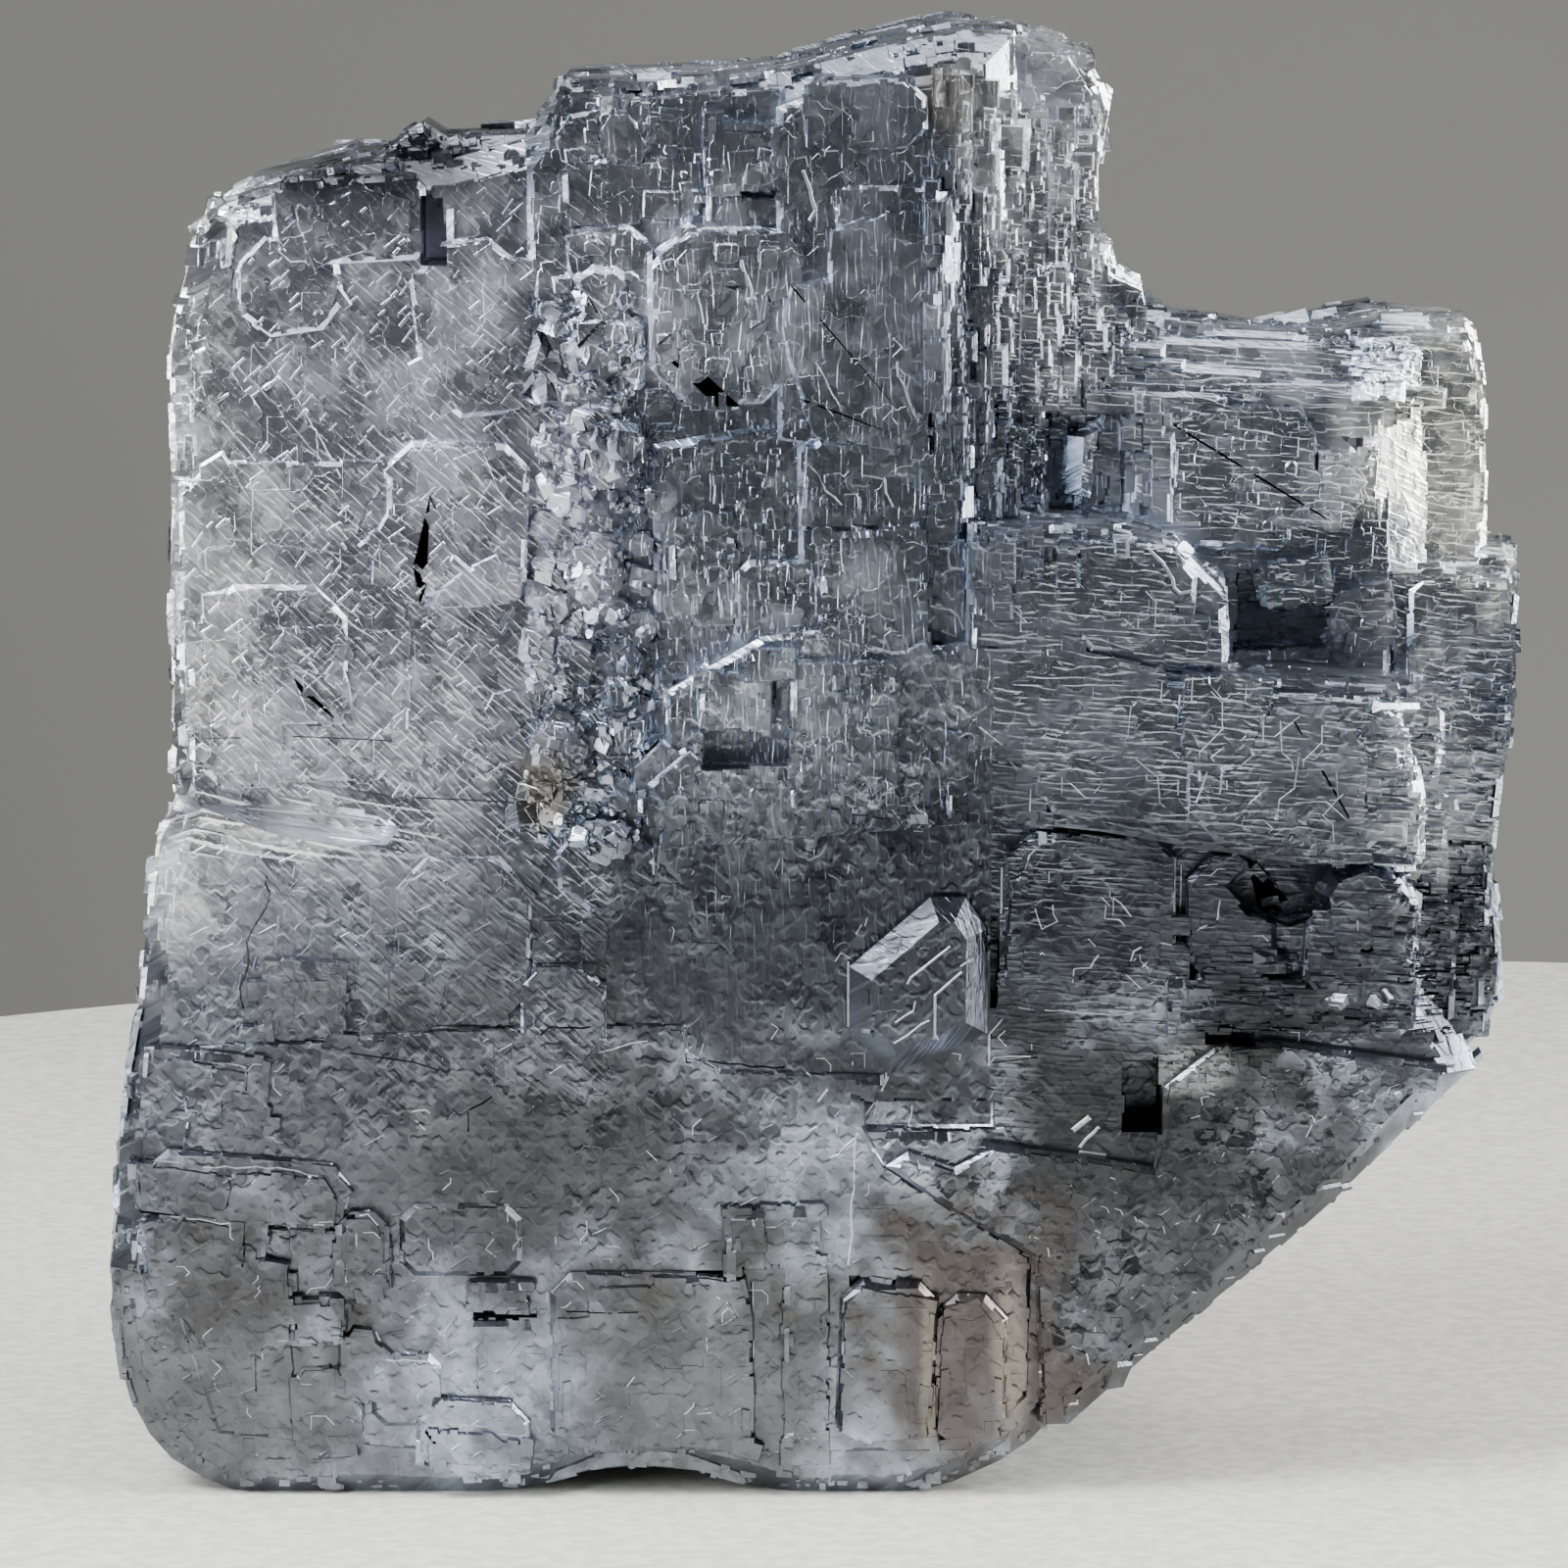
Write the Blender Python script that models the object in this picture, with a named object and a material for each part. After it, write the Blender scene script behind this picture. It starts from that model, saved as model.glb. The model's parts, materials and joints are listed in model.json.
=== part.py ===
"""Galena crystal: one thick tabular intergrowth of lead-grey cubic crystals, standing on its two feet.

The body is a stack of flat layers. Cubic growth plates, stairs and ledges stand on its faces, slots and pits
are sunk into them, and everything is fused into one solid. Sizes are in millimetres, scaled to metres by MM.
X runs to the right, Z up, and the broad front faces -Y. The origin is at the middle of the base.
"""

import math
import random
from dataclasses import dataclass

import bmesh
import bpy
from mathutils import Matrix, Vector

MM = 0.001

# ---- driving dimensions, mm ----------------------------------------------------------------------------
FRONT_Y = -14.0  # the front plane that every plate's rise is measured from
BACK_Y = 16.2  # the back plane
EMBED = 3.6  # how far a plate's foot runs into what it grows from
RIM_CHAMFER = 1.9  # sloping rim round the front and back planes
EDGE_SLOPE = 0.4  # width of the sloping edge round the top of a larger plate
SMALLEST_SLOPED = 4.5  # a plate narrower than this keeps its sharp edges
SMALLEST_CUT = 0.5  # a corner cut smaller than this is left square
TOWER_RIGHT = 9.2  # x where the tower's flat front ends and its stairs begin
STAIR_WIDTH = 1.75  # one column of the stairs
BACK_PLATES = 26
TRIM_BLOCK = 120.0  # size of the block that trims the feet flat
SEED = 7

# ---- body outlines, (x, z) in mm, clockwise from the left foot --------------------------------------------
LEFT_AND_TOP = [
    (-39.0, -0.4), (-42.0, 0.8), (-44.3, 2.2), (-45.8, 3.9), (-47.0, 6.2), (-47.8, 9.0), (-48.2, 12.2),
    (-48.4, 15.7), (-47.9, 19.3), (-47.7, 24.0), (-47.1, 29.5), (-46.3, 33.8), (-45.5, 41.0), (-44.8, 45.8),
    (-43.6, 47.9), (-43.9, 50.5), (-43.6, 55.3), (-43.9, 60.2), (-43.6, 68.2), (-43.7, 74.4), (-43.6, 78.6),
    (-43.2, 81.6), (-42.3, 84.9), (-41.6, 87.6), (-39.7, 88.9), (-36.3, 90.0), (-33.5, 91.0), (-30.4, 91.5),
    (-24.5, 91.9), (-19.7, 93.2), (-16.9, 96.8), (-12.5, 97.0), (-7.3, 97.1), (-1.6, 97.8), (3.9, 99.3),
    (6.7, 99.9), (9.9, 100.4), (13.4, 100.2),
]
FRONT_RIGHT = [
    (13.6, 84.0), (12.4, 76.0), (12.2, 68.2), (20.0, 67.4), (27.8, 63.6), (28.2, 57.6), (38.9, 56.8),
    (40.6, 51.8), (41.9, 43.8), (42.3, 34.5),
]
BACK_RIGHT = [
    (17.1, 99.1), (18.7, 98.2), (19.8, 96.4), (20.3, 94.0), (19.4, 90.9), (18.7, 88.6), (18.4, 85.6),
    (20.4, 85.4), (20.6, 83.9), (22.3, 82.6), (22.5, 81.0), (23.9, 80.7), (24.0, 79.6), (26.6, 79.3),
    (31.7, 79.0), (35.3, 79.6), (39.3, 80.2), (44.7, 79.9), (45.6, 78.4), (46.3, 74.8), (46.3, 69.7),
    (46.1, 64.6), (48.3, 64.2), (48.4, 61.4), (48.0, 55.5), (47.5, 49.1), (46.9, 40.5), (47.6, 37.0),
    (47.7, 33.6), (46.9, 31.3),
]
DIAGONAL_AND_FEET = [
    (45.4, 29.8), (40.5, 25.2), (36.0, 20.7), (28.9, 14.5), (22.7, 9.3), (17.5, 4.6), (16.2, 4.9),
    (14.9, 3.5), (12.7, 2.0), (9.6, 0.6), (6.0, -0.4), (-0.7, -0.4), (-4.7, 0.5), (-8.5, 1.4), (-12.1, 1.7),
    (-15.4, 1.4), (-18.5, 0.5), (-22.8, -0.4),
]
FRONT_OUTLINE = LEFT_AND_TOP + FRONT_RIGHT + DIAGONAL_AND_FEET
FULL_OUTLINE = LEFT_AND_TOP + BACK_RIGHT + DIAGONAL_AND_FEET


@dataclass(frozen=True)
class Layer:
    """One flat layer of the body: its outline, how far inside that it stays, its two faces and its rim."""

    outline: list
    inset: float
    wobble: float  # how far each corner strays
    y_front: float
    y_back: float
    chamfer: float


@dataclass(frozen=True)
class Plate:
    """A cubic growth plate: a rectangle, with cut corners where corner is set, seen from the front.

    rise is how far its top stands out from the front plane (negative when set back), turn its angle in the
    plane, and yaw and pitch its lean about the vertical and the horizontal, in degrees."""

    x: float
    z: float
    width: float
    height: float
    rise: float
    corner: float = 0.6
    turn: float = 0.0
    yaw: float = 0.0
    pitch: float = 0.0
    depth: float = EMBED


@dataclass(frozen=True)
class Block:
    """A growth block, or a pit's cutter, with its own outline, from `rise` down to `depth` below that."""

    outline: list
    rise: float
    depth: float
    slope: float = 0.5
    yaw: float = 0.0
    pitch: float = 0.0


def box(x, z, width, height):
    """A plain rectangle about (x, z)."""
    w, h = width / 2, height / 2
    return [(x - w, z - h), (x + w, z - h), (x + w, z + h), (x - w, z + h)]


BODY_LAYERS = [
    Layer(FRONT_OUTLINE, 0.0, 0.0, FRONT_Y, -4.4, RIM_CHAMFER),
    Layer(FULL_OUTLINE, 0.9, 0.3, -7.6, -2.6, 0.0),
    Layer(FULL_OUTLINE, 0.0, 0.25, -4.0, 5.4, 0.7),
    Layer(FULL_OUTLINE, 1.1, 0.4, 4.6, 8.8, 0.0),
    Layer(FULL_OUTLINE, 0.4, 0.35, 6.6, BACK_Y, RIM_CHAMFER),
]

# Blocks with a shape of their own. They carry the smaller plates.
BLOCKS = [
    # the raised bench across the middle, whose lower edge overhangs the dark floor beneath it
    Block([(-10.3, 45.4), (-10.0, 56.2), (-3.6, 59.9), (0.6, 60.4), (5.3, 59.2), (11.0, 59.4), (17.0, 58.8),
           (28.0, 57.2), (39.3, 56.6), (40.4, 52.2), (41.4, 48.4), (41.2, 44.4), (33.0, 44.4), (26.4, 45.4),
           (19.5, 46.6), (12.8, 47.3), (3.2, 46.5)], 3.2, 6.0, 0.45),
    Block([(10.2, 59.0), (10.3, 67.6), (19.8, 67.5), (24.4, 66.4), (27.7, 62.9), (27.9, 57.5), (18.0, 57.9)],
          3.5, 6.0),
    # the tall plate of the tower and the block below it
    Block([(-2.5, 73.2), (-2.6, 95.6), (1.2, 97.0), (9.4, 97.4), (9.0, 73.0), (6.4, 71.8)], 2.5, 5.5),
    Block([(-1.0, 59.0), (-1.2, 73.6), (10.2, 73.6), (10.6, 59.0)], 2.0, 5.0),
    # the cluster floor of the upper middle
    Block([(-19.2, 78.6), (-19.4, 91.6), (-16.4, 95.9), (-2.0, 96.9), (-1.6, 72.6), (-10.8, 71.0),
           (-14.8, 74.2)], 0.7, 3.7),
    # the speckled ground right of the small crystals
    Block([(-10.8, 56.0), (-11.0, 72.8), (-0.4, 74.6), (-0.2, 58.6)], 1.3, 4.3),
    # the broad lower field, whose stepped upper edge bounds the dark floor
    Block([(-42.0, 31.4), (-19.2, 32.9), (-8.8, 32.9), (-8.6, 31.0), (-6.4, 29.8), (4.6, 29.4), (3.4, 25.6),
           (4.9, 23.0), (8.6, 20.8), (14.9, 16.8), (14.6, 7.0), (11.0, 3.2), (-24.0, 3.0), (-41.0, 4.4),
           (-44.6, 16.0)], 0.35, 3.4, 0.3),
    # the wedge at the lower right, with its bright upper ledge
    Block([(4.9, 23.2), (6.4, 24.2), (9.6, 23.1), (12.6, 24.7), (17.2, 24.1), (23.2, 23.1), (23.9, 28.7),
           (27.3, 31.4), (31.2, 32.0), (43.0, 30.2), (36.8, 23.6), (15.6, 4.9), (15.1, 16.8), (8.6, 20.6)],
          1.3, 4.3, 0.55),
    # the stone behind the recess on the right, and its end blocks
    Block([(17.6, 57.0), (17.8, 72.6), (21.0, 75.8), (34.8, 74.6), (39.6, 68.4), (39.4, 56.2)],
          -4.6, 6.0, 0.5, 2.0, -3.0),
    Block([(37.4, 62.6), (37.6, 79.4), (44.2, 79.4), (45.6, 77.4), (46.0, 70.4), (45.9, 62.4)],
          -6.3, 8.0, 0.9, 24.0),
    Block([(39.0, 63.9), (48.0, 64.0), (48.2, 61.2), (47.7, 55.4), (47.2, 49.0), (46.8, 44.6), (40.0, 44.0)],
          -5.6, 7.0, 0.6, 7.0),
    Block([(40.4, 30.6), (40.6, 46.0), (46.8, 45.2), (46.4, 40.5), (47.2, 37.0), (47.2, 33.6), (45.6, 30.8)],
          -7.0, 7.0, 0.6, 10.0),
    # the dark lump behind the upper left corner
    Block([(-30.6, 88.4), (-30.0, 91.6), (-27.6, 93.4), (-26.4, 94.2), (-24.8, 93.2), (-19.2, 93.4),
           (-18.2, 87.0)], -3.0, 8.0, 0.8),
    # the long crystal with broad cut edges on the dark floor
    Block([(2.4, 37.0), (7.9, 41.8), (10.3, 41.8), (11.8, 39.6), (11.8, 32.4), (5.2, 29.6), (2.4, 32.6)],
          2.3, 5.0, 1.5),
]

PLATES = [
    # upper left corner and left field
    Plate(-31.3, 87.9, 10.4, 5.8, 1.0, 0.9, 3.0, 0.0, 1.5),
    Plate(-35.4, 83.4, 7.0, 6.4, 0.6, 1.7, 8.0, 1.5),
    Plate(-36.6, 58.4, 10.0, 9.6, 0.75, 2.2, 0.0, 1.6),
    Plate(-35.2, 60.6, 15.6, 22.0, 0.35, 2.2, 0.0, 1.0),
    Plate(-24.2, 67.6, 9.6, 10.6, 0.9, 1.6, -2.0, 0.0, 1.2),
    Plate(-23.0, 80.6, 8.0, 12.0, 0.5, 2.4, 6.0, -1.0),
    Plate(-40.3, 55.6, 4.2, 10.0, 0.9, 0.7, 0.0, 2.5),
    # lower left: tablets stepping down to the foot
    Plate(-34.9, 34.6, 5.7, 5.2, 0.6, 0.3, -4.0),
    Plate(-24.0, 38.6, 9.5, 12.0, 0.3, 2.2, 0.0, -1.0),
    Plate(-41.6, 28.7, 8.6, 4.6, 0.9, 0.4, -5.0),
    Plate(-38.8, 21.4, 14.0, 5.0, 1.0, 1.4, -5.0, 0.8),
    Plate(-41.3, 16.6, 7.4, 6.6, 1.3, 0.4, -4.0),
    Plate(-34.1, 12.5, 3.6, 2.9, 1.2, 0.3, 1.0),
    Plate(-30.9, 16.9, 3.6, 6.4, 1.2, 1.0),
    Plate(-37.6, 13.4, 3.6, 5.4, 1.0, 0.5, -2.0),
    Plate(-24.2, 18.0, 8.4, 5.0, 0.8, 1.0, 0.0, 0.0, -1.0),
    Plate(-21.6, 14.2, 3.8, 1.9, 1.4, 0.2, -1.0),
    Plate(-23.4, 4.2, 7.8, 5.6, 1.2, 1.5, -2.0),
    Plate(-28.0, 7.6, 4.8, 5.2, 0.8, 0.9),
    Plate(-33.4, 6.0, 5.2, 6.6, 0.7, 1.2, 3.0),
    # middle of the foot
    Plate(-11.4, 9.6, 13.4, 12.4, 1.1, 1.4, 0.0, 0.0, -0.8),
    Plate(-4.7, 18.2, 2.5, 3.9, 1.1, 0.2),
    Plate(-1.7, 18.4, 3.6, 4.0, 0.9, 0.2),
    Plate(-0.6, 9.8, 2.8, 14.6, 0.8, 0.5),
    Plate(5.2, 9.7, 6.6, 11.0, 1.5, 1.3, -1.0, 1.5),
    Plate(10.6, 9.2, 5.2, 10.2, 1.2, 1.6, -2.0, -1.5),
    Plate(-17.1, 33.7, 5.8, 6.8, 0.9, 1.5),
    # the cut-cornered crystals round the dark floor
    Plate(-14.2, 44.0, 6.6, 6.2, 1.6, 2.0, 3.0),
    Plate(-10.0, 49.6, 3.8, 5.6, 3.7, 1.4, 0.0, -2.0),
    Plate(18.8, 40.2, 11.6, 12.2, 1.5, 1.7, 0.0, 0.0, 0.8),
    Plate(28.4, 40.1, 6.2, 9.4, 1.2, 1.8, 0.0, 1.0),
    Plate(37.2, 38.9, 7.6, 9.4, 2.0, 1.9, -3.0, 2.0),
    Plate(32.6, 34.6, 16.4, 3.0, 1.7, 0.4, -1.0, 0.0, -2.0),
    # plates on the bench
    Plate(1.9, 53.4, 7.0, 9.6, 4.3, 0.3),
    Plate(-5.3, 55.7, 4.8, 3.6, 4.4, 0.3, -2.0, 0.0, 2.0),
    Plate(-3.1, 58.2, 3.2, 1.6, 4.9, 0.2),
    Plate(-7.4, 51.4, 2.4, 4.6, 3.9, 0.8),
    Plate(32.6, 51.0, 14.8, 10.4, 4.2, 2.2, -3.0, 1.2),
    Plate(21.0, 52.4, 12.0, 9.6, 3.9, 1.5, -4.0, 0.0, -0.8),
    Plate(12.4, 50.2, 6.8, 5.6, 3.7, 0.4, -3.0),
    Plate(13.6, 63.2, 5.7, 7.2, 4.0, 0.3, -2.0),
    Plate(21.4, 62.6, 8.6, 7.6, 4.1, 1.9, -5.0, 1.5),
    # speckled ground and what stands on it
    Plate(4.0, 62.9, 7.2, 8.4, 3.0, 0.4, 1.0),
    Plate(-2.6, 61.8, 5.6, 6.4, 2.2, 0.9),
    Plate(3.5, 70.2, 8.4, 6.0, 2.7, 0.9, -2.0),
    Plate(-7.6, 64.4, 4.4, 7.2, 1.8, 0.7, 2.0),
    # upper middle cluster
    Plate(-6.1, 81.6, 10.2, 12.0, 2.6, 2.6, 1.0),
    Plate(-4.9, 92.3, 4.7, 4.3, 2.0, 0.3, 0.0, 0.0, 2.0),
    Plate(-4.6, 88.2, 5.4, 2.6, 1.5, 0.3, -2.0),
    Plate(-13.9, 84.9, 5.5, 5.5, 1.5, 1.2, 5.0),
    Plate(-12.4, 89.9, 9.0, 3.8, 1.3, 0.8, 2.0),
    Plate(-14.6, 93.2, 6.0, 4.6, 1.1, 1.5, 12.0, 0.0, 3.0),
    Plate(-14.1, 79.9, 5.2, 5.1, 1.2, 1.5, 4.0),
    Plate(-13.6, 72.3, 4.4, 4.9, 1.5, 1.5),
    # on the tower
    Plate(5.1, 82.4, 7.4, 16.0, 3.1, 0.5),
    Plate(3.3, 95.0, 8.6, 5.0, 2.9, 1.4, 3.0, 0.0, 2.5),
    # on the recessed stone
    Plate(27.2, 70.2, 11.2, 9.8, -4.0, 0.8, -4.0, 2.0, -3.0),
    Plate(36.2, 69.4, 3.8, 4.4, -4.1, 0.4, -3.0, 2.0),
    Plate(22.6, 60.8, 5.4, 4.2, -4.2, 0.4),
    Plate(37.4, 60.2, 4.2, 4.4, -3.2, 0.8, 10.0),
    Plate(32.8, 62.8, 5.0, 2.8, -3.3, 0.5, 8.0, 0.0, 3.0),
    Plate(43.6, 58.0, 6.0, 10.2, -4.9, 0.9, 0.0, 6.0),
]

PITS = [
    # the long lens-shaped notch in the left edge
    Block([(-47.0, 48.6), (-42.0, 48.7), (-38.0, 48.6), (-33.4, 48.1), (-29.6, 47.5), (-28.3, 46.4),
           (-29.2, 45.3), (-33.4, 45.2), (-37.4, 45.7), (-43.4, 47.4), (-47.0, 47.7)], 0.4, 3.6, 0.9, -5.0),
    # slots between crystals
    Block(box(-25.7, 87.2, 1.8, 4.8), 1.2, 6.0, 0.2),
    Block(box(22.4, 28.0, 2.8, 5.2), 1.6, 7.0, 0.2),
    Block(box(28.4, 31.9, 3.4, 0.9), 1.7, 4.0, 0.2),
    Block(box(12.35, 37.2, 0.7, 6.4), 2.5, 5.5, 0.1),
    Block(box(-21.2, 12.7, 4.4, 0.7), 1.5, 3.4, 0.1),
    Block(box(33.3, 47.8, 1.8, 1.2), 4.4, 3.0, 0.2),
    Block(box(-4.6, 52.4, 6.2, 3.0), 4.6, 4.0, 0.2),
    Block(box(-2.9, 55.4, 0.7, 3.4), 4.6, 3.4, 0.1),
    Block(box(4.0, 15.1, 3.2, 0.8), 1.7, 2.4, 0.1),
    Block(box(-6.6, 15.8, 3.0, 0.7), 1.3, 2.4, 0.1),
    Block(box(-31.7, 18.6, 0.6, 2.6), 1.4, 2.6, 0.1),
    # the dark hollows at the right
    Block([(27.6, 42.6), (30.2, 45.6), (34.6, 46.4), (37.4, 44.2), (36.2, 40.8), (32.4, 39.6), (29.4, 40.6)],
          2.2, 5.0, 0.8),
    Block([(28.6, 57.9), (28.8, 63.4), (33.2, 64.2), (36.4, 60.6), (35.0, 58.2)], -3.4, 4.4, 0.4),
    # the undercut between the feet and the hollow above the wedge
    Block([(-20.6, -2.0), (-18.0, 1.6), (-13.6, 3.4), (-8.6, 2.9), (-4.6, 1.4), (-3.4, -2.0)], 1.2, 3.0, 0.4),
    Block(box(7.8, 26.6, 9.4, 2.4), 0.9, 1.8, 0.4),
]


def inside(outline, x, z):
    """Whether (x, z) is inside the outline."""
    within = False
    for (x0, z0), (x1, z1) in zip(outline, outline[1:] + outline[:1]):
        if (z0 > z) != (z1 > z) and x < x0 + (x1 - x0) * (z - z0) / (z1 - z0):
            within = not within
    return within


def corner_cut(plate):
    """The outline of a plate about its own centre."""
    w, h = plate.width / 2, plate.height / 2
    c = min(plate.corner, 0.8 * w, 0.8 * h)
    if c < SMALLEST_CUT:
        return box(0.0, 0.0, plate.width, plate.height)
    right = [(w - c, -h), (w, -h + c), (w, h - c), (w - c, h)]
    return right + [(-x, -z) for x, z in right]


def drawn_in(outline, inset, wobble, rng):
    """The outline moved inwards by inset, with each corner strayed a little. The feet keep their height."""
    moved = []
    for before, (x, z), after in zip(outline[-1:] + outline[:-1], outline, outline[1:] + outline[:1]):
        along = Vector((after[0] - before[0], after[1] - before[1])).normalized()
        x += along.y * inset + rng.uniform(-wobble, wobble)
        moved.append((x, z if z < 0.0 else z - along.x * inset + rng.uniform(-wobble, wobble)))
    return moved


def prism(name, outline, thickness, slope, collection):
    """A closed mesh prism with sloping rims, from a filled 2D curve. Its faces look along local +Z and -Z."""
    curve = bpy.data.curves.new(name, "CURVE")
    curve.dimensions = "2D"
    curve.fill_mode = "BOTH"
    curve.extrude = (thickness / 2 - slope) * MM
    curve.bevel_depth = slope * MM
    curve.bevel_resolution = 0
    curve.offset = -slope * MM
    spline = curve.splines.new("POLY")
    spline.points.add(len(outline) - 1)
    for point, (x, z) in zip(spline.points, outline):
        point.co = (x * MM, z * MM, 0.0, 1.0)
    spline.use_cyclic_u = True
    guide = bpy.data.objects.new(name + "_outline", curve)
    bpy.context.scene.collection.objects.link(guide)
    graph = bpy.context.evaluated_depsgraph_get()
    mesh = bpy.data.meshes.new_from_object(guide.evaluated_get(graph))
    bpy.data.objects.remove(guide)
    shape = bmesh.new()
    shape.from_mesh(mesh)
    bmesh.ops.remove_doubles(shape, verts=shape.verts, dist=1e-6)
    bmesh.ops.recalc_face_normals(shape, faces=shape.faces)
    shape.to_mesh(mesh)
    shape.free()
    mesh.name = name
    made = bpy.data.objects.new(name, mesh)
    collection.objects.link(made)
    return made


def stand_up(piece, x, z, rise, thickness, turn=0.0, yaw=0.0, pitch=0.0):
    """Puts a prism at (x, z) with its top `rise` in front of the front plane, leaning by yaw and pitch."""
    lean = Matrix.Rotation(math.radians(yaw), 4, "Z") @ Matrix.Rotation(math.radians(pitch), 4, "X")
    upright = Matrix.Rotation(math.radians(90.0), 4, "X") @ Matrix.Rotation(math.radians(turn), 4, "Z")
    top = Matrix.Translation((x * MM, (FRONT_Y - rise) * MM, z * MM))
    piece.matrix_world = top @ lean @ Matrix.Translation((0.0, thickness / 2 * MM, 0.0)) @ upright


def add_layer(layer, name, rng, collection):
    """Adds one layer of the body."""
    thickness = layer.y_back - layer.y_front
    outline = drawn_in(layer.outline, layer.inset, layer.wobble, rng)
    piece = prism(name, outline, thickness, layer.chamfer, collection)
    stand_up(piece, 0.0, 0.0, FRONT_Y - layer.y_front, thickness)
    return piece


def add_plate(plate, name, collection):
    """Adds one growth plate."""
    outline = corner_cut(plate)
    sloped = len(outline) > 4 and min(plate.width, plate.height) > SMALLEST_SLOPED
    piece = prism(name, outline, plate.depth, EDGE_SLOPE if sloped else 0.0, collection)
    stand_up(piece, plate.x, plate.z, plate.rise, plate.depth, plate.turn, plate.yaw, plate.pitch)
    return piece


def add_back_plate(plate, name, collection):
    """Adds one growth plate to the back, its rise measured from the back plane."""
    piece = add_plate(plate, name, collection)
    middle = Matrix.Translation((0.0, (FRONT_Y + BACK_Y) * MM, 0.0))
    about_itself = Matrix.Translation((2 * plate.x * MM, 0.0, 0.0)) @ Matrix.Rotation(math.pi, 4, "Z")
    piece.matrix_world = middle @ about_itself @ piece.matrix_world


def add_block(block, name, collection):
    """Adds a block, or a pit's cutter, about the middle of its outline."""
    xs, zs = zip(*block.outline)
    x, z = (min(xs) + max(xs)) / 2, (min(zs) + max(zs)) / 2
    about = [(px - x, pz - z) for px, pz in block.outline]
    piece = prism(name, about, block.depth, block.slope, collection)
    stand_up(piece, x, z, block.rise, block.depth, 0.0, block.yaw, block.pitch)


def tower_stairs(rng):
    """Columns of small blocks that step down and back from the tower's right edge."""
    plates = []
    for column in range(6):
        z = 98.0 - column
        foot = 68.0 if column < 4 else 84.0
        while z > foot:
            height = rng.uniform(2.2, 6.0)
            rise = 2.2 - 1.5 * column + rng.uniform(-0.8, 0.7)
            plates.append(Plate(TOWER_RIGHT + column * STAIR_WIDTH, z - height / 2,
                                STAIR_WIDTH * rng.uniform(1.0, 1.5), height + 0.3, rise, 0.0, depth=9.0))
            z -= height
    return plates


def recess_stairs(rng):
    """The bank of steps that runs down to the right from the tower's foot into the recess."""
    return [Plate(15.4 + 0.95 * step, 79.7 - 0.45 * step, 2.3, 9.0 - 0.35 * step,
                  -3.4 - 0.42 * step + rng.uniform(-0.3, 0.3), 0.0, rng.uniform(-2.0, 2.0), depth=5.0)
            for step in range(11)]


def recess_ledges(rng):
    """Long thin ledges that climb and step back above the recessed stone."""
    return [Plate(30.6 + 0.55 * ledge + rng.uniform(-0.7, 0.7), 75.0 + 0.62 * ledge, 18.5 - 0.9 * ledge, 1.7,
                  -4.9 - 0.5 * ledge, 0.0, -3.0 + rng.uniform(-0.5, 0.5), depth=5.0)
            for ledge in range(7)]


def right_edge_ledges(rng):
    """Short ledges that step back down the right edge of the bench and of the lower right."""
    upper = [Plate(40.6 + 0.2 * ledge + rng.uniform(-0.3, 0.3), 54.6 - 2.55 * ledge, 3.4, 3.1,
                   1.0 - 0.5 * (ledge % 3) - 0.25 * ledge, 0.0, rng.uniform(-4.0, 2.0),
                   rng.uniform(4.0, 10.0), depth=9.0)
             for ledge in range(9)]
    lower = [Plate(44.4 + rng.uniform(-0.4, 0.4), 43.0 - 2.1 * ledge, 4.2, 2.5, -5.4 - 0.5 * (ledge % 2), 0.0,
                   rng.uniform(-3.0, 2.0), 10.0, depth=9.0)
             for ledge in range(6)]
    return upper + lower


def small_crystals(rng):
    """The band of little cut-cornered crystals that runs down the middle, each leaning its own way."""
    band = [(-15.6, 80.0), (-14.6, 73.0), (-13.0, 66.0), (-12.2, 60.6), (-14.6, 56.4), (-17.6, 50.0)]
    plates = []
    for (x0, z0), (x1, z1) in zip(band, band[1:]):
        for _ in range(5):
            along, size = rng.random(), rng.uniform(1.1, 2.7)
            plates.append(Plate(x0 + (x1 - x0) * along + rng.gauss(0.0, 1.7), z0 + (z1 - z0) * along, size,
                                size * rng.uniform(0.8, 1.3), rng.uniform(0.6, 2.3), size * 0.3,
                                rng.uniform(-15.0, 15.0), rng.uniform(-4.0, 4.0), rng.uniform(-4.0, 4.0)))
    return plates


def hollow_blocks(rng):
    """Broken blocks in the dark hollow of the recess."""
    return [Plate(29.6 + 1.15 * number, 59.8 + rng.uniform(-1.2, 2.4), rng.uniform(1.2, 2.4),
                  rng.uniform(1.4, 2.8), -5.4 + rng.uniform(-0.8, 0.9), 0.0, rng.uniform(-25.0, 25.0),
                  rng.uniform(-8.0, 8.0), depth=5.0)
            for number in range(6)]


def side_steps(rng):
    """Blocks let into the narrow sides, flush with the outline, so that the layers read as growth steps."""
    plates = []
    for _ in range(38):
        index = rng.randrange(len(FULL_OUTLINE))
        start, end = Vector(FULL_OUTLINE[index - 1]), Vector(FULL_OUTLINE[index])
        along = (end - start).normalized()
        width = rng.uniform(3.0, 4.5)
        inwards = Vector((along.y, -along.x))
        middle = start.lerp(end, rng.random()) + inwards * (width / 2 + rng.uniform(0.1, 0.6))
        if middle.y > 5.0:
            plates.append(Plate(middle.x, middle.y, width, rng.uniform(2.0, 6.5), rng.uniform(-21.0, -6.5),
                                0.0, math.degrees(math.atan2(along.y, along.x)) - 90.0,
                                depth=rng.uniform(2.5, 8.0)))
    return plates


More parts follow.
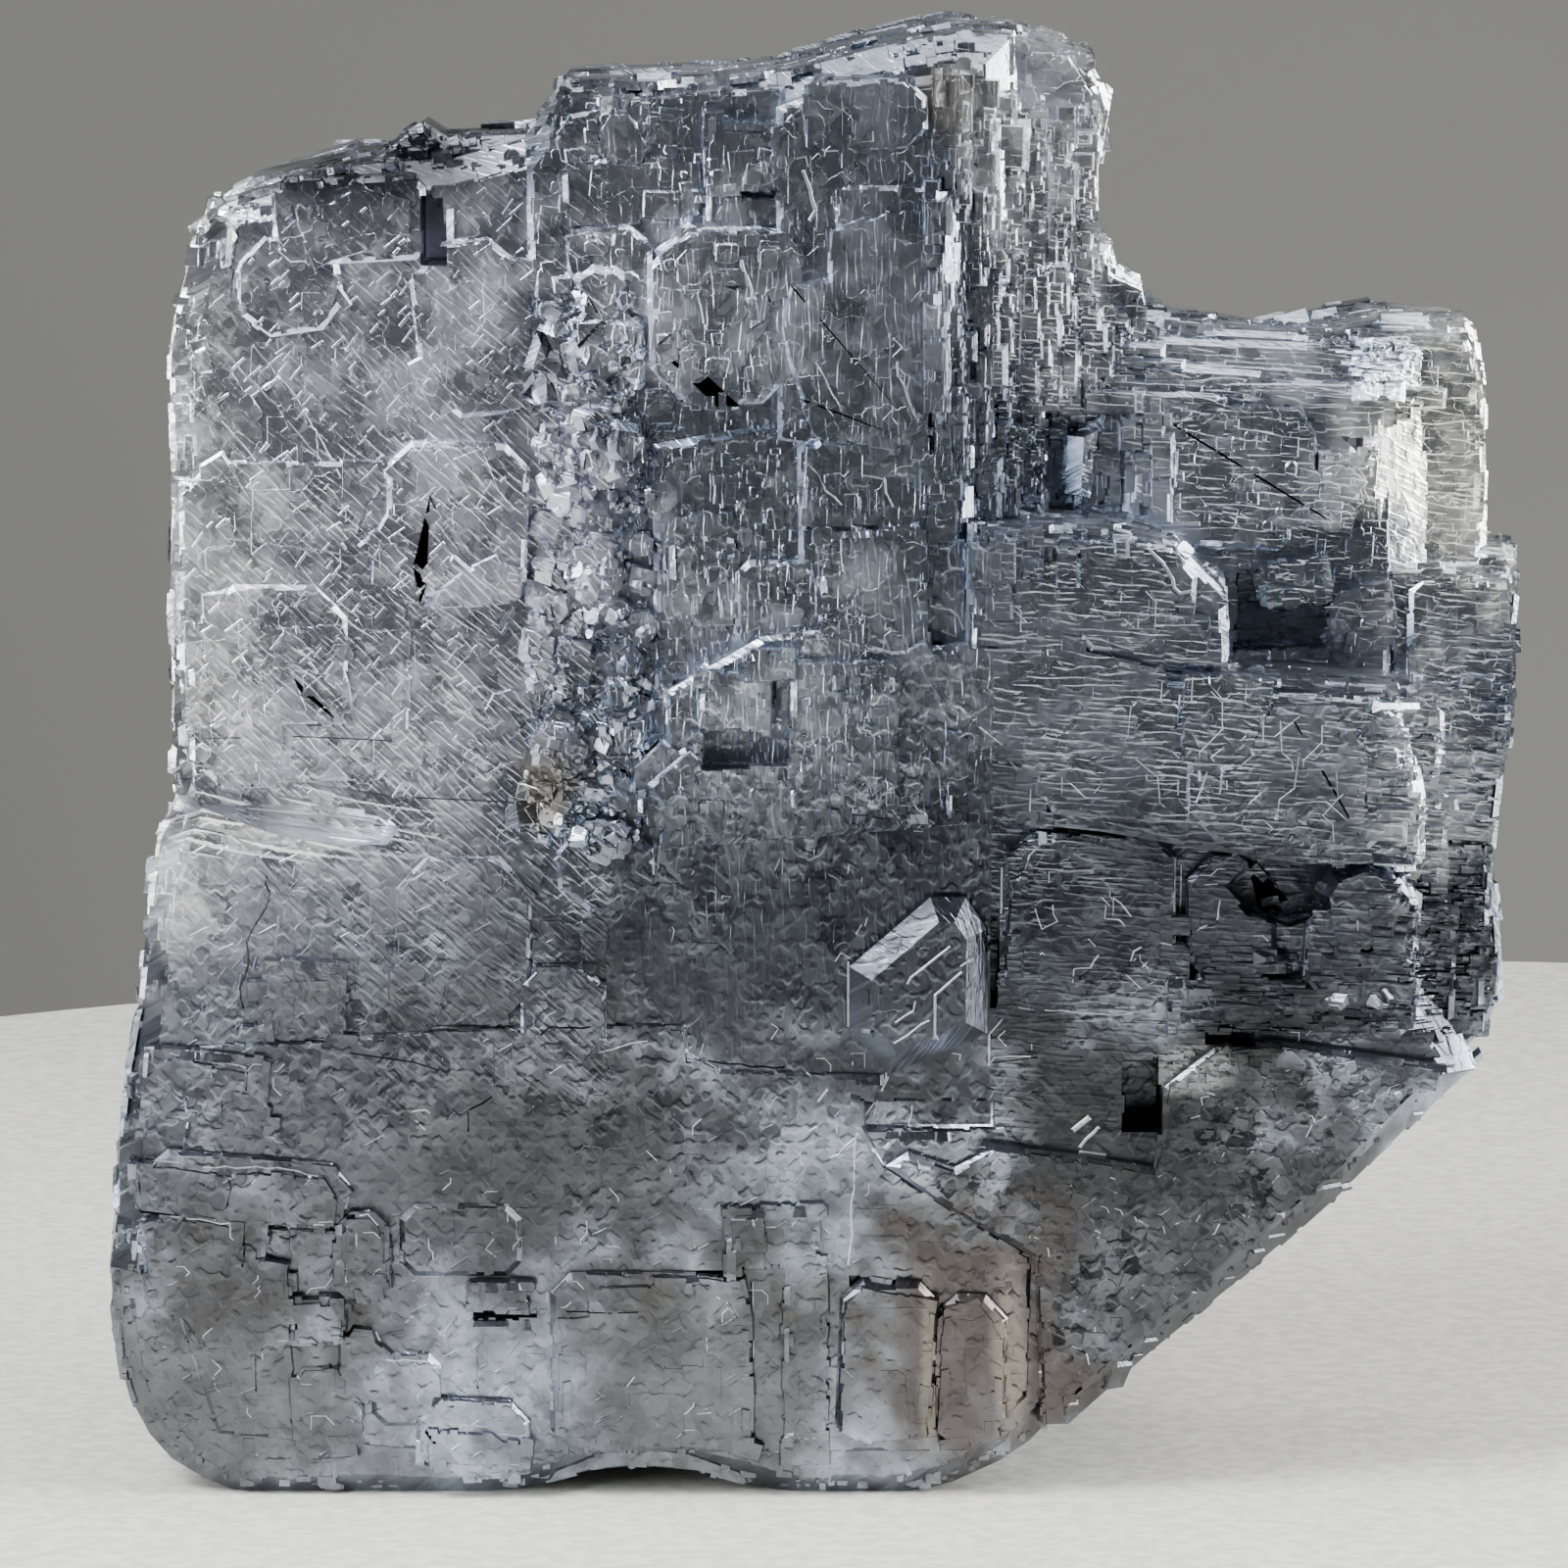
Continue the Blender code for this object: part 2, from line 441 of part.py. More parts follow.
def back_plates(rng):
    """Terraces over the back: the broadest are lowest, and each next one is smaller and stands higher."""
    plates = []
    while len(plates) < BACK_PLATES:
        share = len(plates) / BACK_PLATES
        size = 46.0 * (1.0 - share) ** 1.6 + 5.0
        plate = Plate(rng.uniform(-38.0, 42.0), rng.uniform(8.0, 92.0), size * rng.uniform(0.5, 1.2),
                      size * rng.uniform(0.5, 1.2), 0.35 + 2.0 * share, rng.choice([0.0, 0.0, 0.08 * size]),
                      rng.choice([0.0, 0.0, 1.5, -2.5]), rng.uniform(-0.8, 0.8), rng.uniform(-0.8, 0.8))
        corners = box(plate.x, plate.z, plate.width + 2 * RIM_CHAMFER, plate.height + 2 * RIM_CHAMFER)
        if all(inside(FULL_OUTLINE, x, z) for x, z in corners):
            plates.append(plate)
    return plates


def new_collection(name):
    """A collection of its own under the scene."""
    made = bpy.data.collections.new(name)
    bpy.context.scene.collection.children.link(made)
    return made


def hide_helpers(collection):
    """Keeps grown blocks and cutters out of the finished model."""
    for helper in collection.objects:
        helper.hide_render = True
        helper.display_type = "WIRE"


def add_boolean(target, operation, collection):
    """Fuses a collection to the target, or cuts it away."""
    modifier = target.modifiers.new(operation.title(), "BOOLEAN")
    modifier.operation = operation
    modifier.operand_type = "COLLECTION"
    modifier.collection = collection
    modifier.solver = "EXACT"


def centre_on_base(crystal):
    """Moves the crystal and its helpers together, so that the origin is at the middle of the base."""
    graph = bpy.context.evaluated_depsgraph_get()
    evaluated = crystal.evaluated_get(graph)
    corners = [evaluated.matrix_world @ Vector(corner) for corner in evaluated.bound_box]
    low = [min(corner[axis] for corner in corners) for axis in range(3)]
    high = [max(corner[axis] for corner in corners) for axis in range(3)]
    to_origin = Matrix.Translation((-(low[0] + high[0]) / 2, -(low[1] + high[1]) / 2, -low[2]))
    for piece in bpy.data.objects:
        piece.matrix_world = to_origin @ piece.matrix_world


def galena_material():
    """Lead grey metal with a blue cast."""
    material = bpy.data.materials.new("galena")
    material.use_nodes = True
    shader = material.node_tree.nodes["Principled BSDF"]
    shader.inputs["Base Color"].default_value = (0.33, 0.34, 0.38, 1.0)
    shader.inputs["Metallic"].default_value = 1.0
    shader.inputs["Roughness"].default_value = 0.38
    return material


def build():
    """Builds the crystal as one solid."""
    for old in list(bpy.data.objects):
        bpy.data.objects.remove(old)
    rng = random.Random(SEED)
    model, growth, cutters = (new_collection(name) for name in ("galena_crystal", "growth", "cutters"))

    crystal = add_layer(BODY_LAYERS[0], "galena_crystal", rng, model)
    for number, layer in enumerate(BODY_LAYERS[1:], start=1):
        add_layer(layer, f"layer_{number}", rng, growth)
    for number, block in enumerate(BLOCKS):
        add_block(block, f"block_{number}", growth)
    grown = PLATES + tower_stairs(rng) + recess_stairs(rng) + recess_ledges(rng) + right_edge_ledges(rng)
    grown += small_crystals(rng) + hollow_blocks(rng) + side_steps(rng)
    for number, plate in enumerate(grown):
        add_plate(plate, f"plate_{number}", growth)
    for number, plate in enumerate(back_plates(rng)):
        add_back_plate(plate, f"back_plate_{number}", growth)
    for number, pit in enumerate(PITS):
        add_block(pit, f"pit_{number}", cutters)
    trim = prism("foot_trim", box(0.0, 0.0, TRIM_BLOCK, TRIM_BLOCK), TRIM_BLOCK, 0.0, cutters)
    trim.location.z = -TRIM_BLOCK / 2 * MM

    hide_helpers(growth)
    hide_helpers(cutters)
    add_boolean(crystal, "UNION", growth)
    add_boolean(crystal, "DIFFERENCE", cutters)
    centre_on_base(crystal)
    crystal.data.materials.append(galena_material())


build()
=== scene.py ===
"""Looks of the galena crystal: stepped cubic growth, finished on every side, on a pale round table.

Sizes are in millimetres unless a name says otherwise, and MM scales them to the frame's metres.
X runs to the right, Z up, and the broad front faces -Y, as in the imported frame.

The order is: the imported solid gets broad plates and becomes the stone, the stone gets growth, and
every piece gets one metal. Random draws are seeded, so each run gives the same specimen.
"""

import json
import logging
import math
import random
from dataclasses import dataclass, field
from enum import Enum
from functools import cache

import bmesh
import bpy
from mathutils import Matrix, Vector
from mathutils.bvhtree import BVHTree

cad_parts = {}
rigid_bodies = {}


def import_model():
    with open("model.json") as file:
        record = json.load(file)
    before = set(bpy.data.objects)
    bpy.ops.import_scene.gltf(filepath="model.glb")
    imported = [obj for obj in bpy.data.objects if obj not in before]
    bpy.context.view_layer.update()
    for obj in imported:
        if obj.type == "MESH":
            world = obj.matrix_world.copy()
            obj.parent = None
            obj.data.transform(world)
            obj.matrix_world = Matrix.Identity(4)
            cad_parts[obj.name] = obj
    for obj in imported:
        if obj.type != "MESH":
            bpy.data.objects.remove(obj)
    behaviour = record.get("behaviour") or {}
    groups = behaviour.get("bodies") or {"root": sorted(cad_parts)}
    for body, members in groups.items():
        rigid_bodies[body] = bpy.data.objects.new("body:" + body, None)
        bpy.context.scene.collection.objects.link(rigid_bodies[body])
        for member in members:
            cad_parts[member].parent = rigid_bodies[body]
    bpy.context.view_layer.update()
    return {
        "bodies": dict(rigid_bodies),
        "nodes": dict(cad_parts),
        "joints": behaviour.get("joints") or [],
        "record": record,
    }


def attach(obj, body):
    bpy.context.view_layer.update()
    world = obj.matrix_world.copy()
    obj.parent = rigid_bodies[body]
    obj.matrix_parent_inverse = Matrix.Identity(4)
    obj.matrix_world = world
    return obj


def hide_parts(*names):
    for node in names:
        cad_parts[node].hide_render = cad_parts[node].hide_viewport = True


MM = 0.001
NODE = "galena_crystal"
BODY = "root"
SEED = 11
BATCH_CELL = 0.8  # plates that share a cell of this size are fused in different passes
WELD = 2e-6
RULING = 15.0  # squares to the millimetre in the grid that the front is laid out on
GRID_MIDDLE = 831.9  # the grid's column over the middle of the base
GRID_BASE = 1543.0  # the grid's row at the base
RIDGE_RUN = 1.33  # run of a ridge's sides for each mm of lift
RIDGE_SHARE = 0.42  # lift of a ridge over the reach of its sides, under 0.5 to keep a narrow top
STEPPED_FROM = 2.2  # plates wider and higher than this get stepped outlines, mm
CUT_ROOM = 5.0  # how far cutters may pass the box that growth stays in, mm
LEAST_LIT = 0.1  # cosine from which a side faces the lit way
LEAST_SLOPE = 0.3  # sine of the least tilt that counts as a sloping rim
PARALLEL = 0.15  # sine under which two sides of an outline count as one line
STEP_LENGTH = 0.9  # usual length of the short sides of a stepped plate, mm
STEP_JOG = 0.12  # how far they step, mm
STUB = 0.2  # the last short side of a stepped one, over the usual length
SHORTEST = 0.4  # the shortest of the others
END_MARGIN = 0.35  # where the first and the last may end
SHRINK = 0.55  # how much smaller a plate is tried again where the skin doesn't carry it
TRIES = 3
UP_LEFT = (-0.7, 0.7)  # the ways that lit sides may face: across and up
UP_RIGHT = (0.5, 0.85)
RIGHTWARDS = (1.0, 0.15)
Pair = tuple[float, float]
Triple = tuple[float, float, float]
Outline = list[Pair]  # corners, across and up, mm
log = logging.getLogger("galena")


# ---- places on the stone -------------------------------------------------------------------------


class Side(Enum):
    """A side of the stone: the way in, and the two directions that span it."""

    FRONT = ((0, 1, 0), (1, 0, 0), (0, 0, 1))
    BACK = ((0, -1, 0), (-1, 0, 0), (0, 0, 1))
    LEFT = ((1, 0, 0), (0, -1, 0), (0, 0, 1))
    RIGHT = ((-1, 0, 0), (0, 1, 0), (0, 0, 1))
    TOP = ((0, 0, -1), (1, 0, 0), (0, 1, 0))

    @property
    def inwards(self) -> Vector:
        """The direction that looks at this side."""
        return Vector(self.value[0])

    @property
    def across(self) -> Vector:
        """The side's first in-plane direction."""
        return Vector(self.value[1])

    @property
    def upwards(self) -> Vector:
        """The side's second in-plane direction."""
        return Vector(self.value[2])


@dataclass
class Place:
    """A point of the stone's skin with its outward normal and the two directions along the skin, in mm."""

    point: Vector
    normal: Vector
    across: Vector
    upwards: Vector


@dataclass
class Skin:
    """The stone's surface, asked where a plate may sit."""

    mesh: bpy.types.Mesh
    clear: list[Outline] = field(default_factory=list)  # what stays bare on the front
    reach: float = 200.0  # how far outside the stone it is looked at from, mm
    sole: float = 0.05  # how far growth stays above the base, mm
    spare: float = 0.45  # how far growth may pass the stone's own box, mm
    tree: BVHTree = field(init=False)
    low: Vector = field(init=False)
    high: Vector = field(init=False)

    def __post_init__(self) -> None:
        """Indexes the surface in mm."""
        points = [vertex.co / MM for vertex in self.mesh.vertices]
        self.tree = BVHTree.FromPolygons(points, [polygon.vertices for polygon in self.mesh.polygons])
        self.low = Vector([min(point[i] for point in points) - self.spare for i in range(3)])
        self.high = Vector([max(point[i] for point in points) + self.spare for i in range(3)])
        self.low.z = self.sole

    def depth(self, side: Side, a: float, b: float) -> tuple[Vector, Vector] | None:
        """Finds where the side is met.

        Args:
            side: the side looked at.
            a: the place along the side's first direction, in mm.
            b: the place along its second direction, in mm.

        Returns:
            The point and its normal, or None where nothing is met.
        """
        start = side.across * a + side.upwards * b - side.inwards * self.reach
        point, normal, _, _ = self.tree.ray_cast(start, side.inwards)
        return None if point is None else (point, normal)

    def stays_bare(self, side: Side, a: float, b: float) -> bool:
        """Whether scattered growth keeps off this place."""
        return side is Side.FRONT and any(inside(zone, a, b) for zone in self.clear)

    def place(self, side: Side, a: float, b: float, steepest: float = 0.8) -> Place | None:
        """Finds a seat for a plate.

        Args:
            side: the side looked at.
            a: the place along the side's first direction, in mm.
            b: the place along its second direction, in mm.
            steepest: the least cosine between the skin's normal and the side's own.

        Returns:
            The seat, or None where the skin is missing or too steep.
        """
        found = self.depth(side, a, b)
        if found is None or -found[1].dot(side.inwards) < steepest:
            return None
        point, normal = found
        upwards = (side.upwards - normal * side.upwards.dot(normal)).normalized()
        return Place(point, normal, upwards.cross(normal), upwards)

    def on_rim(self, side: Side, seat: Place, reach: float) -> bool:
        """Says whether a seat lies on the sloping rim of the stone's outline.

        Args:
            side: the side looked at.
            seat: the seat.
            reach: how far the outline may be, in mm.

        Returns:
            True where the skin slopes and ends within that reach.
        """
        sideways = seat.normal + side.inwards * -seat.normal.dot(side.inwards)
        if sideways.length < LEAST_SLOPE:
            return False
        beyond = seat.point + sideways.normalized() * reach
        return self.depth(side, beyond.dot(side.across), beyond.dot(side.upwards)) is None

    def carries(
        self, side: Side, seat: Place, width: float, height: float, most: float, scattered: bool = True
    ) -> bool:
        """Says whether the skin lies close under a whole plate.

        Args:
            side: the side looked at.
            seat: the plate's seat.
            width: the plate's width in mm.
            height: the plate's height in mm.
            most: how far the skin may drop or rise under a corner, in mm.
            scattered: whether the plate keeps off the bare places.

        Returns:
            True where all four corners are carried.
        """
        for u, v in ((-0.5, -0.5), (0.5, -0.5), (0.5, 0.5), (-0.5, 0.5)):
            corner = seat.point + seat.across * (u * width) + seat.upwards * (v * height)
            a, b = corner.dot(side.across), corner.dot(side.upwards)
            found = self.depth(side, a, b)
            if found is None or abs((found[0] - corner).dot(side.inwards)) > most:
                return False
            if scattered and self.stays_bare(side, a, b):
                return False
        return True


# ---- outlines ------------------------------------------------------------------------------------


def ruled(*places: Pair) -> Outline:
    """Turns places in the grid that the front is laid out on into mm.

    Args:
        places: columns and rows of that grid, counted from the upper left.

    Returns:
        The places in mm across the front and above the base.
    """
    return [((column - GRID_MIDDLE) / RULING, (GRID_BASE - row) / RULING) for column, row in places]


def inside(outline: Outline, x: float, z: float) -> bool:
    """Says whether a point is inside an outline.

    Args:
        outline: the corners.
        x: the point's place across.
        z: its place up.

    Returns:
        True inside.
    """
    within = False
    for (x0, z0), (x1, z1) in zip(outline, outline[1:] + outline[:1]):
        if (z0 > z) != (z1 > z) and x < x0 + (x1 - x0) * (z - z0) / (z1 - z0):
            within = not within
    return within


def extent(outline: Outline) -> tuple[float, float, float, float]:
    """The outline's least and greatest coordinates."""
    across, up = [point[0] for point in outline], [point[1] for point in outline]
    return min(across), max(across), min(up), max(up)


def anticlockwise(outline: Outline) -> Outline:
    """The outline, turned round where it runs clockwise."""
    area = sum(x0 * z1 - x1 * z0 for (x0, z0), (x1, z1) in zip(outline, outline[1:] + outline[:1]))
    return outline if area > 0.0 else outline[::-1]


def cut_rectangle(width: float, height: float, corner: float) -> Outline:
    """Draws a rectangle about the origin.

    Args:
        width: its width.
        height: its height.
        corner: the cut of its corners, which stay square at 0.

    Returns:
        Its corners, anticlockwise.
    """
    w, h = width / 2, height / 2
    if corner <= 0.0:
        return [(-w, -h), (w, -h), (w, h), (-w, h)]
    c = min(corner, 0.8 * w, 0.8 * h)
    half = [(w - c, -h), (w, -h + c), (w, h - c), (w - c, h)]
    return half + [(-x, -z) for x, z in half]


def stepped(outline: Outline, rng: random.Random, piece: float, jog: float) -> Outline:
    """Breaks long sides into short ones that step in and out.

    Args:
        outline: the corners, anticlockwise.
        rng: the source of chance.
        piece: the usual length of a short side, in mm.
        jog: how far the short sides step, in mm.

    Returns:
        The stepped outline.
    """
    made = []
    for (x0, z0), (x1, z1) in zip(outline, outline[1:] + outline[:1]):
        length = math.hypot(x1 - x0, z1 - z0)
        made.append((x0, z0))
        count = int(length / piece)
        if count < 2:
            continue
        across, up = (x1 - x0) / length, (z1 - z0) / length
        margin = END_MARGIN * piece
        cuts = sorted(rng.uniform(margin, length - margin) for _ in range(count - 1))
        shift, last = 0.0, 0.0
        for cut in cuts:
            if cut - last < SHORTEST * piece or length - cut < SHORTEST * piece:
                continue
            after = rng.uniform(-jog, jog)
            for side in (shift, after):
                made.append((x0 + across * cut + up * side, z0 + up * cut - across * side))
            shift, last = after, cut
        if shift:
            x, z = x1 - across * STUB * piece, z1 - up * STUB * piece
            made.extend([(x + up * shift, z - across * shift), (x, z)])
    return made


def offset(outline: Outline, distances: list[float]) -> Outline:
    """Moves each side of an outline outwards.

    Args:
        outline: the corners, anticlockwise.
        distances: how far each side moves; the first side starts at the first corner.

    Returns:
        The moved corners.
    """
    normals = []
    for (x0, z0), (x1, z1) in zip(outline, outline[1:] + outline[:1]):
        length = math.hypot(x1 - x0, z1 - z0)
        normals.append(((z1 - z0) / length, (x0 - x1) / length))
    moved = []
    for i, (x, z) in enumerate(outline):
        (ax, az), (bx, bz) = normals[i - 1], normals[i]
        da, db = distances[i - 1], distances[i]
        det = ax * bz - az * bx
        if abs(det) < PARALLEL:
            moved.append((x + bx * (da + db) / 2, z + bz * (da + db) / 2))
        else:
            moved.append((x + (bz * da - az * db) / det, z + (ax * db - bx * da) / det))
    return moved


# ---- growth plates -------------------------------------------------------------------------------


@dataclass
class Plate:
    """One growth plate: a flat top, and sides that slope where they face the lit way."""

    shape: Outline
    lift: float  # of its top above its seat, mm
    turn: float = 0.0  # in the plane of the skin, degrees
    lean: Pair = (0.0, 0.0)  # towards the side's two directions, degrees
    root: float = 0.3  # how deep it goes into the stone, mm
    slope: float = 1.2  # run of a lit side for each mm of lift
    steep: float = 0.25  # run of the other sides
    lit: Pair = UP_LEFT
    most_run: float = 0.3  # how far a side may run in, over the plate's smaller size
    foot_run: Pair = (0.5, 0.4)  # the most run and the most root that widen the foot

    def rings(self, seat: Place) -> tuple[list[Vector], list[Vector]]:
        """Places the plate.

        Args:
            seat: where it sits.

        Returns:
            Its foot ring and its top ring, in mm.
        """
        leant = Matrix.Rotation(math.radians(self.lean[0]), 3, seat.upwards) @ Matrix.Rotation(
            math.radians(self.lean[1]), 3, seat.across
        )
        frame = leant @ Matrix.Rotation(math.radians(self.turn), 3, seat.normal)
        across, upwards, out = frame @ seat.across, frame @ seat.upwards, leant @ seat.normal
        low_x, high_x, low_z, high_z = extent(self.shape)
        most = self.most_run * min(high_x - low_x, high_z - low_z)
        spin = math.radians(-self.turn)
        lit_x = self.lit[0] * math.cos(spin) - self.lit[1] * math.sin(spin)
        lit_z = self.lit[0] * math.sin(spin) + self.lit[1] * math.cos(spin)
        runs = []
        for (x0, z0), (x1, z1) in zip(self.shape, self.shape[1:] + self.shape[:1]):
            faces = ((z1 - z0) * lit_x + (x0 - x1) * lit_z) / math.hypot(x1 - x0, z1 - z0)
            runs.append(self.slope if faces > LEAST_LIT else self.steep)
        widest, deepest = self.foot_run
        foot = offset(self.shape, [min(run, widest) * min(self.root, deepest) for run in runs])
        top = offset(self.shape, [-min(run * self.lift, most) for run in runs])
        rings = []
        for ring, level in ((foot, -self.root), (top, self.lift)):
            rings.append([seat.point + across * u + upwards * v + out * level for u, v in ring])
        return rings[0], rings[1]


class Batches:
    """Plates sorted into meshes whose plates don't touch, ready to be fused one mesh after another."""

    def __init__(self, low: Vector, high: Vector) -> None:
        """Starts with no batch.

        Args:
            low: the least corner of the box that plates stay in, in mm.
            high: its greatest corner.
        """
        self.low, self.high = low, high
        self.meshes: list[tuple[list[Vector], list[list[int]]]] = []
        self.cells: list[set[tuple[int, int, int]]] = []
        self.count = 0

    def add(self, foot: list[Vector], top: list[Vector]) -> None:
        """Adds one closed plate to the first batch with room for it, or drops one that leaves the box.

        Args:
            foot: the ring inside the stone.
            top: the ring outside it.
        """
        if any(not self.low[i] < point[i] < self.high[i] for point in foot + top for i in range(3)):
            return
        ranges = []
        for axis in range(3):
            values = [point[axis] for point in foot + top]
            ranges.append(range(int(min(values) // BATCH_CELL), int(max(values) // BATCH_CELL) + 1))
        keys = [(i, j, k) for i in ranges[0] for j in ranges[1] for k in ranges[2]]
        number = next((n for n, used in enumerate(self.cells) if used.isdisjoint(keys)), None)
        if number is None:
            number = len(self.cells)
            self.cells.append(set())
            self.meshes.append(([], []))
        self.cells[number].update(keys)
        points, faces = self.meshes[number]
        first, sides = len(points), len(foot)
        points.extend(foot + top)
        faces.append([first + sides - 1 - i for i in range(sides)])
        faces.append([first + sides + i for i in range(sides)])
        for i in range(sides):
            after = (i + 1) % sides
            faces.append([first + i, first + after, first + sides + after, first + sides + i])
        self.count += 1

    def objects(self, name: str) -> list[bpy.types.Object]:
        """Turns the batches into objects.

        Args:
            name: the stem of their names.

        Returns:
            One object for each batch.
        """
        made = []
        for number, (points, faces) in enumerate(self.meshes):
            mesh = bpy.data.meshes.new(f"{name}_{number}")
            mesh.from_pydata([point * MM for point in points], [], faces)
            made.append(bpy.data.objects.new(mesh.name, mesh))
            bpy.context.scene.collection.objects.link(made[-1])
        return made


@dataclass
class Sheet:
    """A broad growth plate with its own outline and stepped edges, lying square on the front."""

    outline: Outline
    lift: float = 0.16
    lit: Pair = UP_LEFT
    piece: float = 1.3  # the usual length of its short sides, mm
    jog: float = 0.16  # how far they step, mm
    root: float = 1.4
    slope: float = 1.35
    steepest: float = 0.3  # the least cosine between the skin under its middle and the front

    def grow(self, skin: Skin, batches: Batches, rng: random.Random) -> None:
        """Lays the sheet.

        Args:
            skin: the stone's surface.
            batches: where it goes.
            rng: the source of chance.
        """
        middle = [sum(point[axis] for point in self.outline) / len(self.outline) for axis in range(2)]
        seat = skin.place(Side.FRONT, *middle, self.steepest)
        if seat is None:
            return
        square = Place(seat.point, -Side.FRONT.inwards, Side.FRONT.across, Side.FRONT.upwards)
        shape = anticlockwise([(x - middle[0], z - middle[1]) for x, z in self.outline])
        if self.jog > 0.0:
            shape = stepped(shape, rng, self.piece, self.jog)
        plate = Plate(shape, self.lift, root=self.root, slope=self.slope, lit=self.lit)
        batches.add(*plate.rings(square))


@dataclass(frozen=True)
class Habit:
    """How the plates of a field grow."""

    size: Pair  # smallest and largest width, mm
    lift: Pair  # least and greatest lift, mm
    aspect: Pair = (0.6, 1.6)  # height over width
    cut: float = 0.35  # share of plates with cut corners
    corner: Pair = (0.12, 0.3)  # cut of a corner over the smaller size
    scatter: float = 1.5  # spread of the turn, degrees
    lean: float = 0.4  # spread of the lean, degrees
    slope: float = 1.3  # run of a lit side for each mm of lift
    steepest: float = 0.85  # least cosine between the skin and the side
    support: float = 0.3  # how far the skin may lie from a plate's corners, mm
    crowding: float = 2.2  # how far the small sizes outnumber the large
    rim: float = 0.0  # where positive, only sloping skin this near to the outline is covered, mm


CALM = Habit((0.8, 5.5), (0.012, 0.06))
SHINGLES = Habit((0.8, 6.0), (0.01, 0.05), (0.12, 0.4), 0.6, scatter=14.0, lean=0.8, slope=1.1, support=0.7)
CRUMBS = Habit(
    (0.3, 1.2), (-0.15, 0.14), (0.5, 1.6), 0.3, scatter=3.0, lean=2.5, slope=0.5, steepest=0.1, support=9.0,
    crowding=1.6, rim=2.4,
)
ROCKS = Habit(
    (0.6, 2.8), (0.05, 0.6), (0.6, 1.5), 0.7, scatter=20.0, lean=12.0, slope=0.9, steepest=0.12,
    support=1.6,
)
DRUSE = Habit(
    (0.5, 2.6), (0.1, 0.7), (0.7, 1.3), 0.8, scatter=14.0, lean=8.0, slope=1.0, steepest=0.7,
    support=0.8,
)
SPECKLE = Habit((0.3, 1.5), (0.03, 0.2), (0.5, 1.6), 0.25, scatter=3.0, lean=2.0, slope=1.0)
CLUSTER = Habit((0.7, 3.6), (0.03, 0.2), (0.6, 1.3), 0.7, scatter=6.0, lean=1.8, slope=1.2)
STRIPES = Habit((0.3, 2.0), (0.01, 0.04), (1.2, 6.0), 0.2, scatter=1.0)
STAIRS = Habit(
    (0.35, 2.0), (0.1, 0.7), (0.5, 2.6), 0.0, scatter=1.0, lean=1.0, slope=0.6, steepest=0.6,
    support=1.3,
)
LEDGES = Habit(
    (1.2, 8.0), (0.06, 0.4), (0.06, 0.2), 0.0, scatter=1.2, lean=1.0, slope=0.8, steepest=0.5,
    support=1.3,
)
CHIPS = Habit(
    (0.6, 4.0), (0.08, 0.5), (0.15, 0.5), 0.0, scatter=2.5, lean=1.5, slope=0.8, steepest=0.5,
    support=1.2,
)
BENCH = Habit((0.8, 6.0), (0.012, 0.07), (0.3, 0.9), 0.3, steepest=0.8, support=0.4)
PEEL = Habit((0.4, 1.8), (0.02, 0.11), (0.6, 1.3), 0.85, scatter=40.0, lean=3.0)
COARSE = Habit(
    (0.8, 6.0), (0.03, 0.3), (0.3, 1.4), 0.2, scatter=2.0, lean=1.2, slope=0.7, steepest=0.45,
    support=0.8,
)


@dataclass
class Field:
    """A stretch of the skin covered with plates of one habit."""

    side: Side
    outline: Outline  # along the side's two directions, mm
    count: int
    habit: Habit = CALM
    turn: float = 0.0  # degrees
    lit: Pair = UP_LEFT
    rim_root: float = 1.6  # how deep a plate on the rim is rooted, mm

    def grow(self, skin: Skin, batches: Batches, rng: random.Random) -> None:
        """Scatters the plates.

        Args:
            skin: the stone's surface.
            batches: where the plates go.
            rng: the source of chance.
        """
        low_a, high_a, low_b, high_b = extent(self.outline)
        habit = self.habit
        for _ in range(self.count):
            a, b = rng.uniform(low_a, high_a), rng.uniform(low_b, high_b)
            width = habit.size[0] + (habit.size[1] - habit.size[0]) * rng.random() ** habit.crowding
            height = width * rng.uniform(*habit.aspect)
            corner = rng.uniform(*habit.corner) * min(width, height) if rng.random() < habit.cut else 0.0
            lift = rng.uniform(*habit.lift)
            turn = self.turn + rng.gauss(0.0, habit.scatter)
            lean = (rng.gauss(0.0, habit.lean), rng.gauss(0.0, habit.lean))
            if not inside(self.outline, a, b) or skin.stays_bare(self.side, a, b):
                continue
            seat = skin.place(self.side, a, b, habit.steepest)
            if seat is None:
                continue
            plate = Plate([], lift, turn, lean, slope=habit.slope, lit=self.lit)
            if habit.rim > 0.0:
                if not skin.on_rim(self.side, seat, habit.rim):
                    continue
                seat = Place(seat.point, -self.side.inwards, self.side.across, self.side.upwards)
                plate.root = self.rim_root
            set_down(plate, (width, height, corner), seat, self.side, skin, batches, habit.support, rng)


def set_down(
    plate: Plate,
    size: Triple,
    seat: Place,
    side: Side,
    skin: Skin,
    batches: Batches,
    support: float,
    rng: random.Random,
) -> None:
    """Adds a plate if the skin carries it, shrinking it up to twice where it doesn't.

    Args:
        plate: the plate, still without a shape.
        size: its width, its height and the cut of its corners, in mm.
        seat: where it sits.
        side: the side it is seen from.
        skin: the stone's surface.
        batches: where it goes.
        support: how far the skin may lie from its corners, in mm.
        rng: the source of chance.
    """
    width, height, corner = size
    for _ in range(TRIES):
        if skin.carries(side, seat, width, height, support):
            plate.shape = cut_rectangle(width, height, corner)
            if min(width, height) > STEPPED_FROM:
                plate.shape = stepped(plate.shape, rng, STEP_LENGTH, STEP_JOG)
            batches.add(*plate.rings(seat))
            return
        width, height, corner = SHRINK * width, SHRINK * height, SHRINK * corner


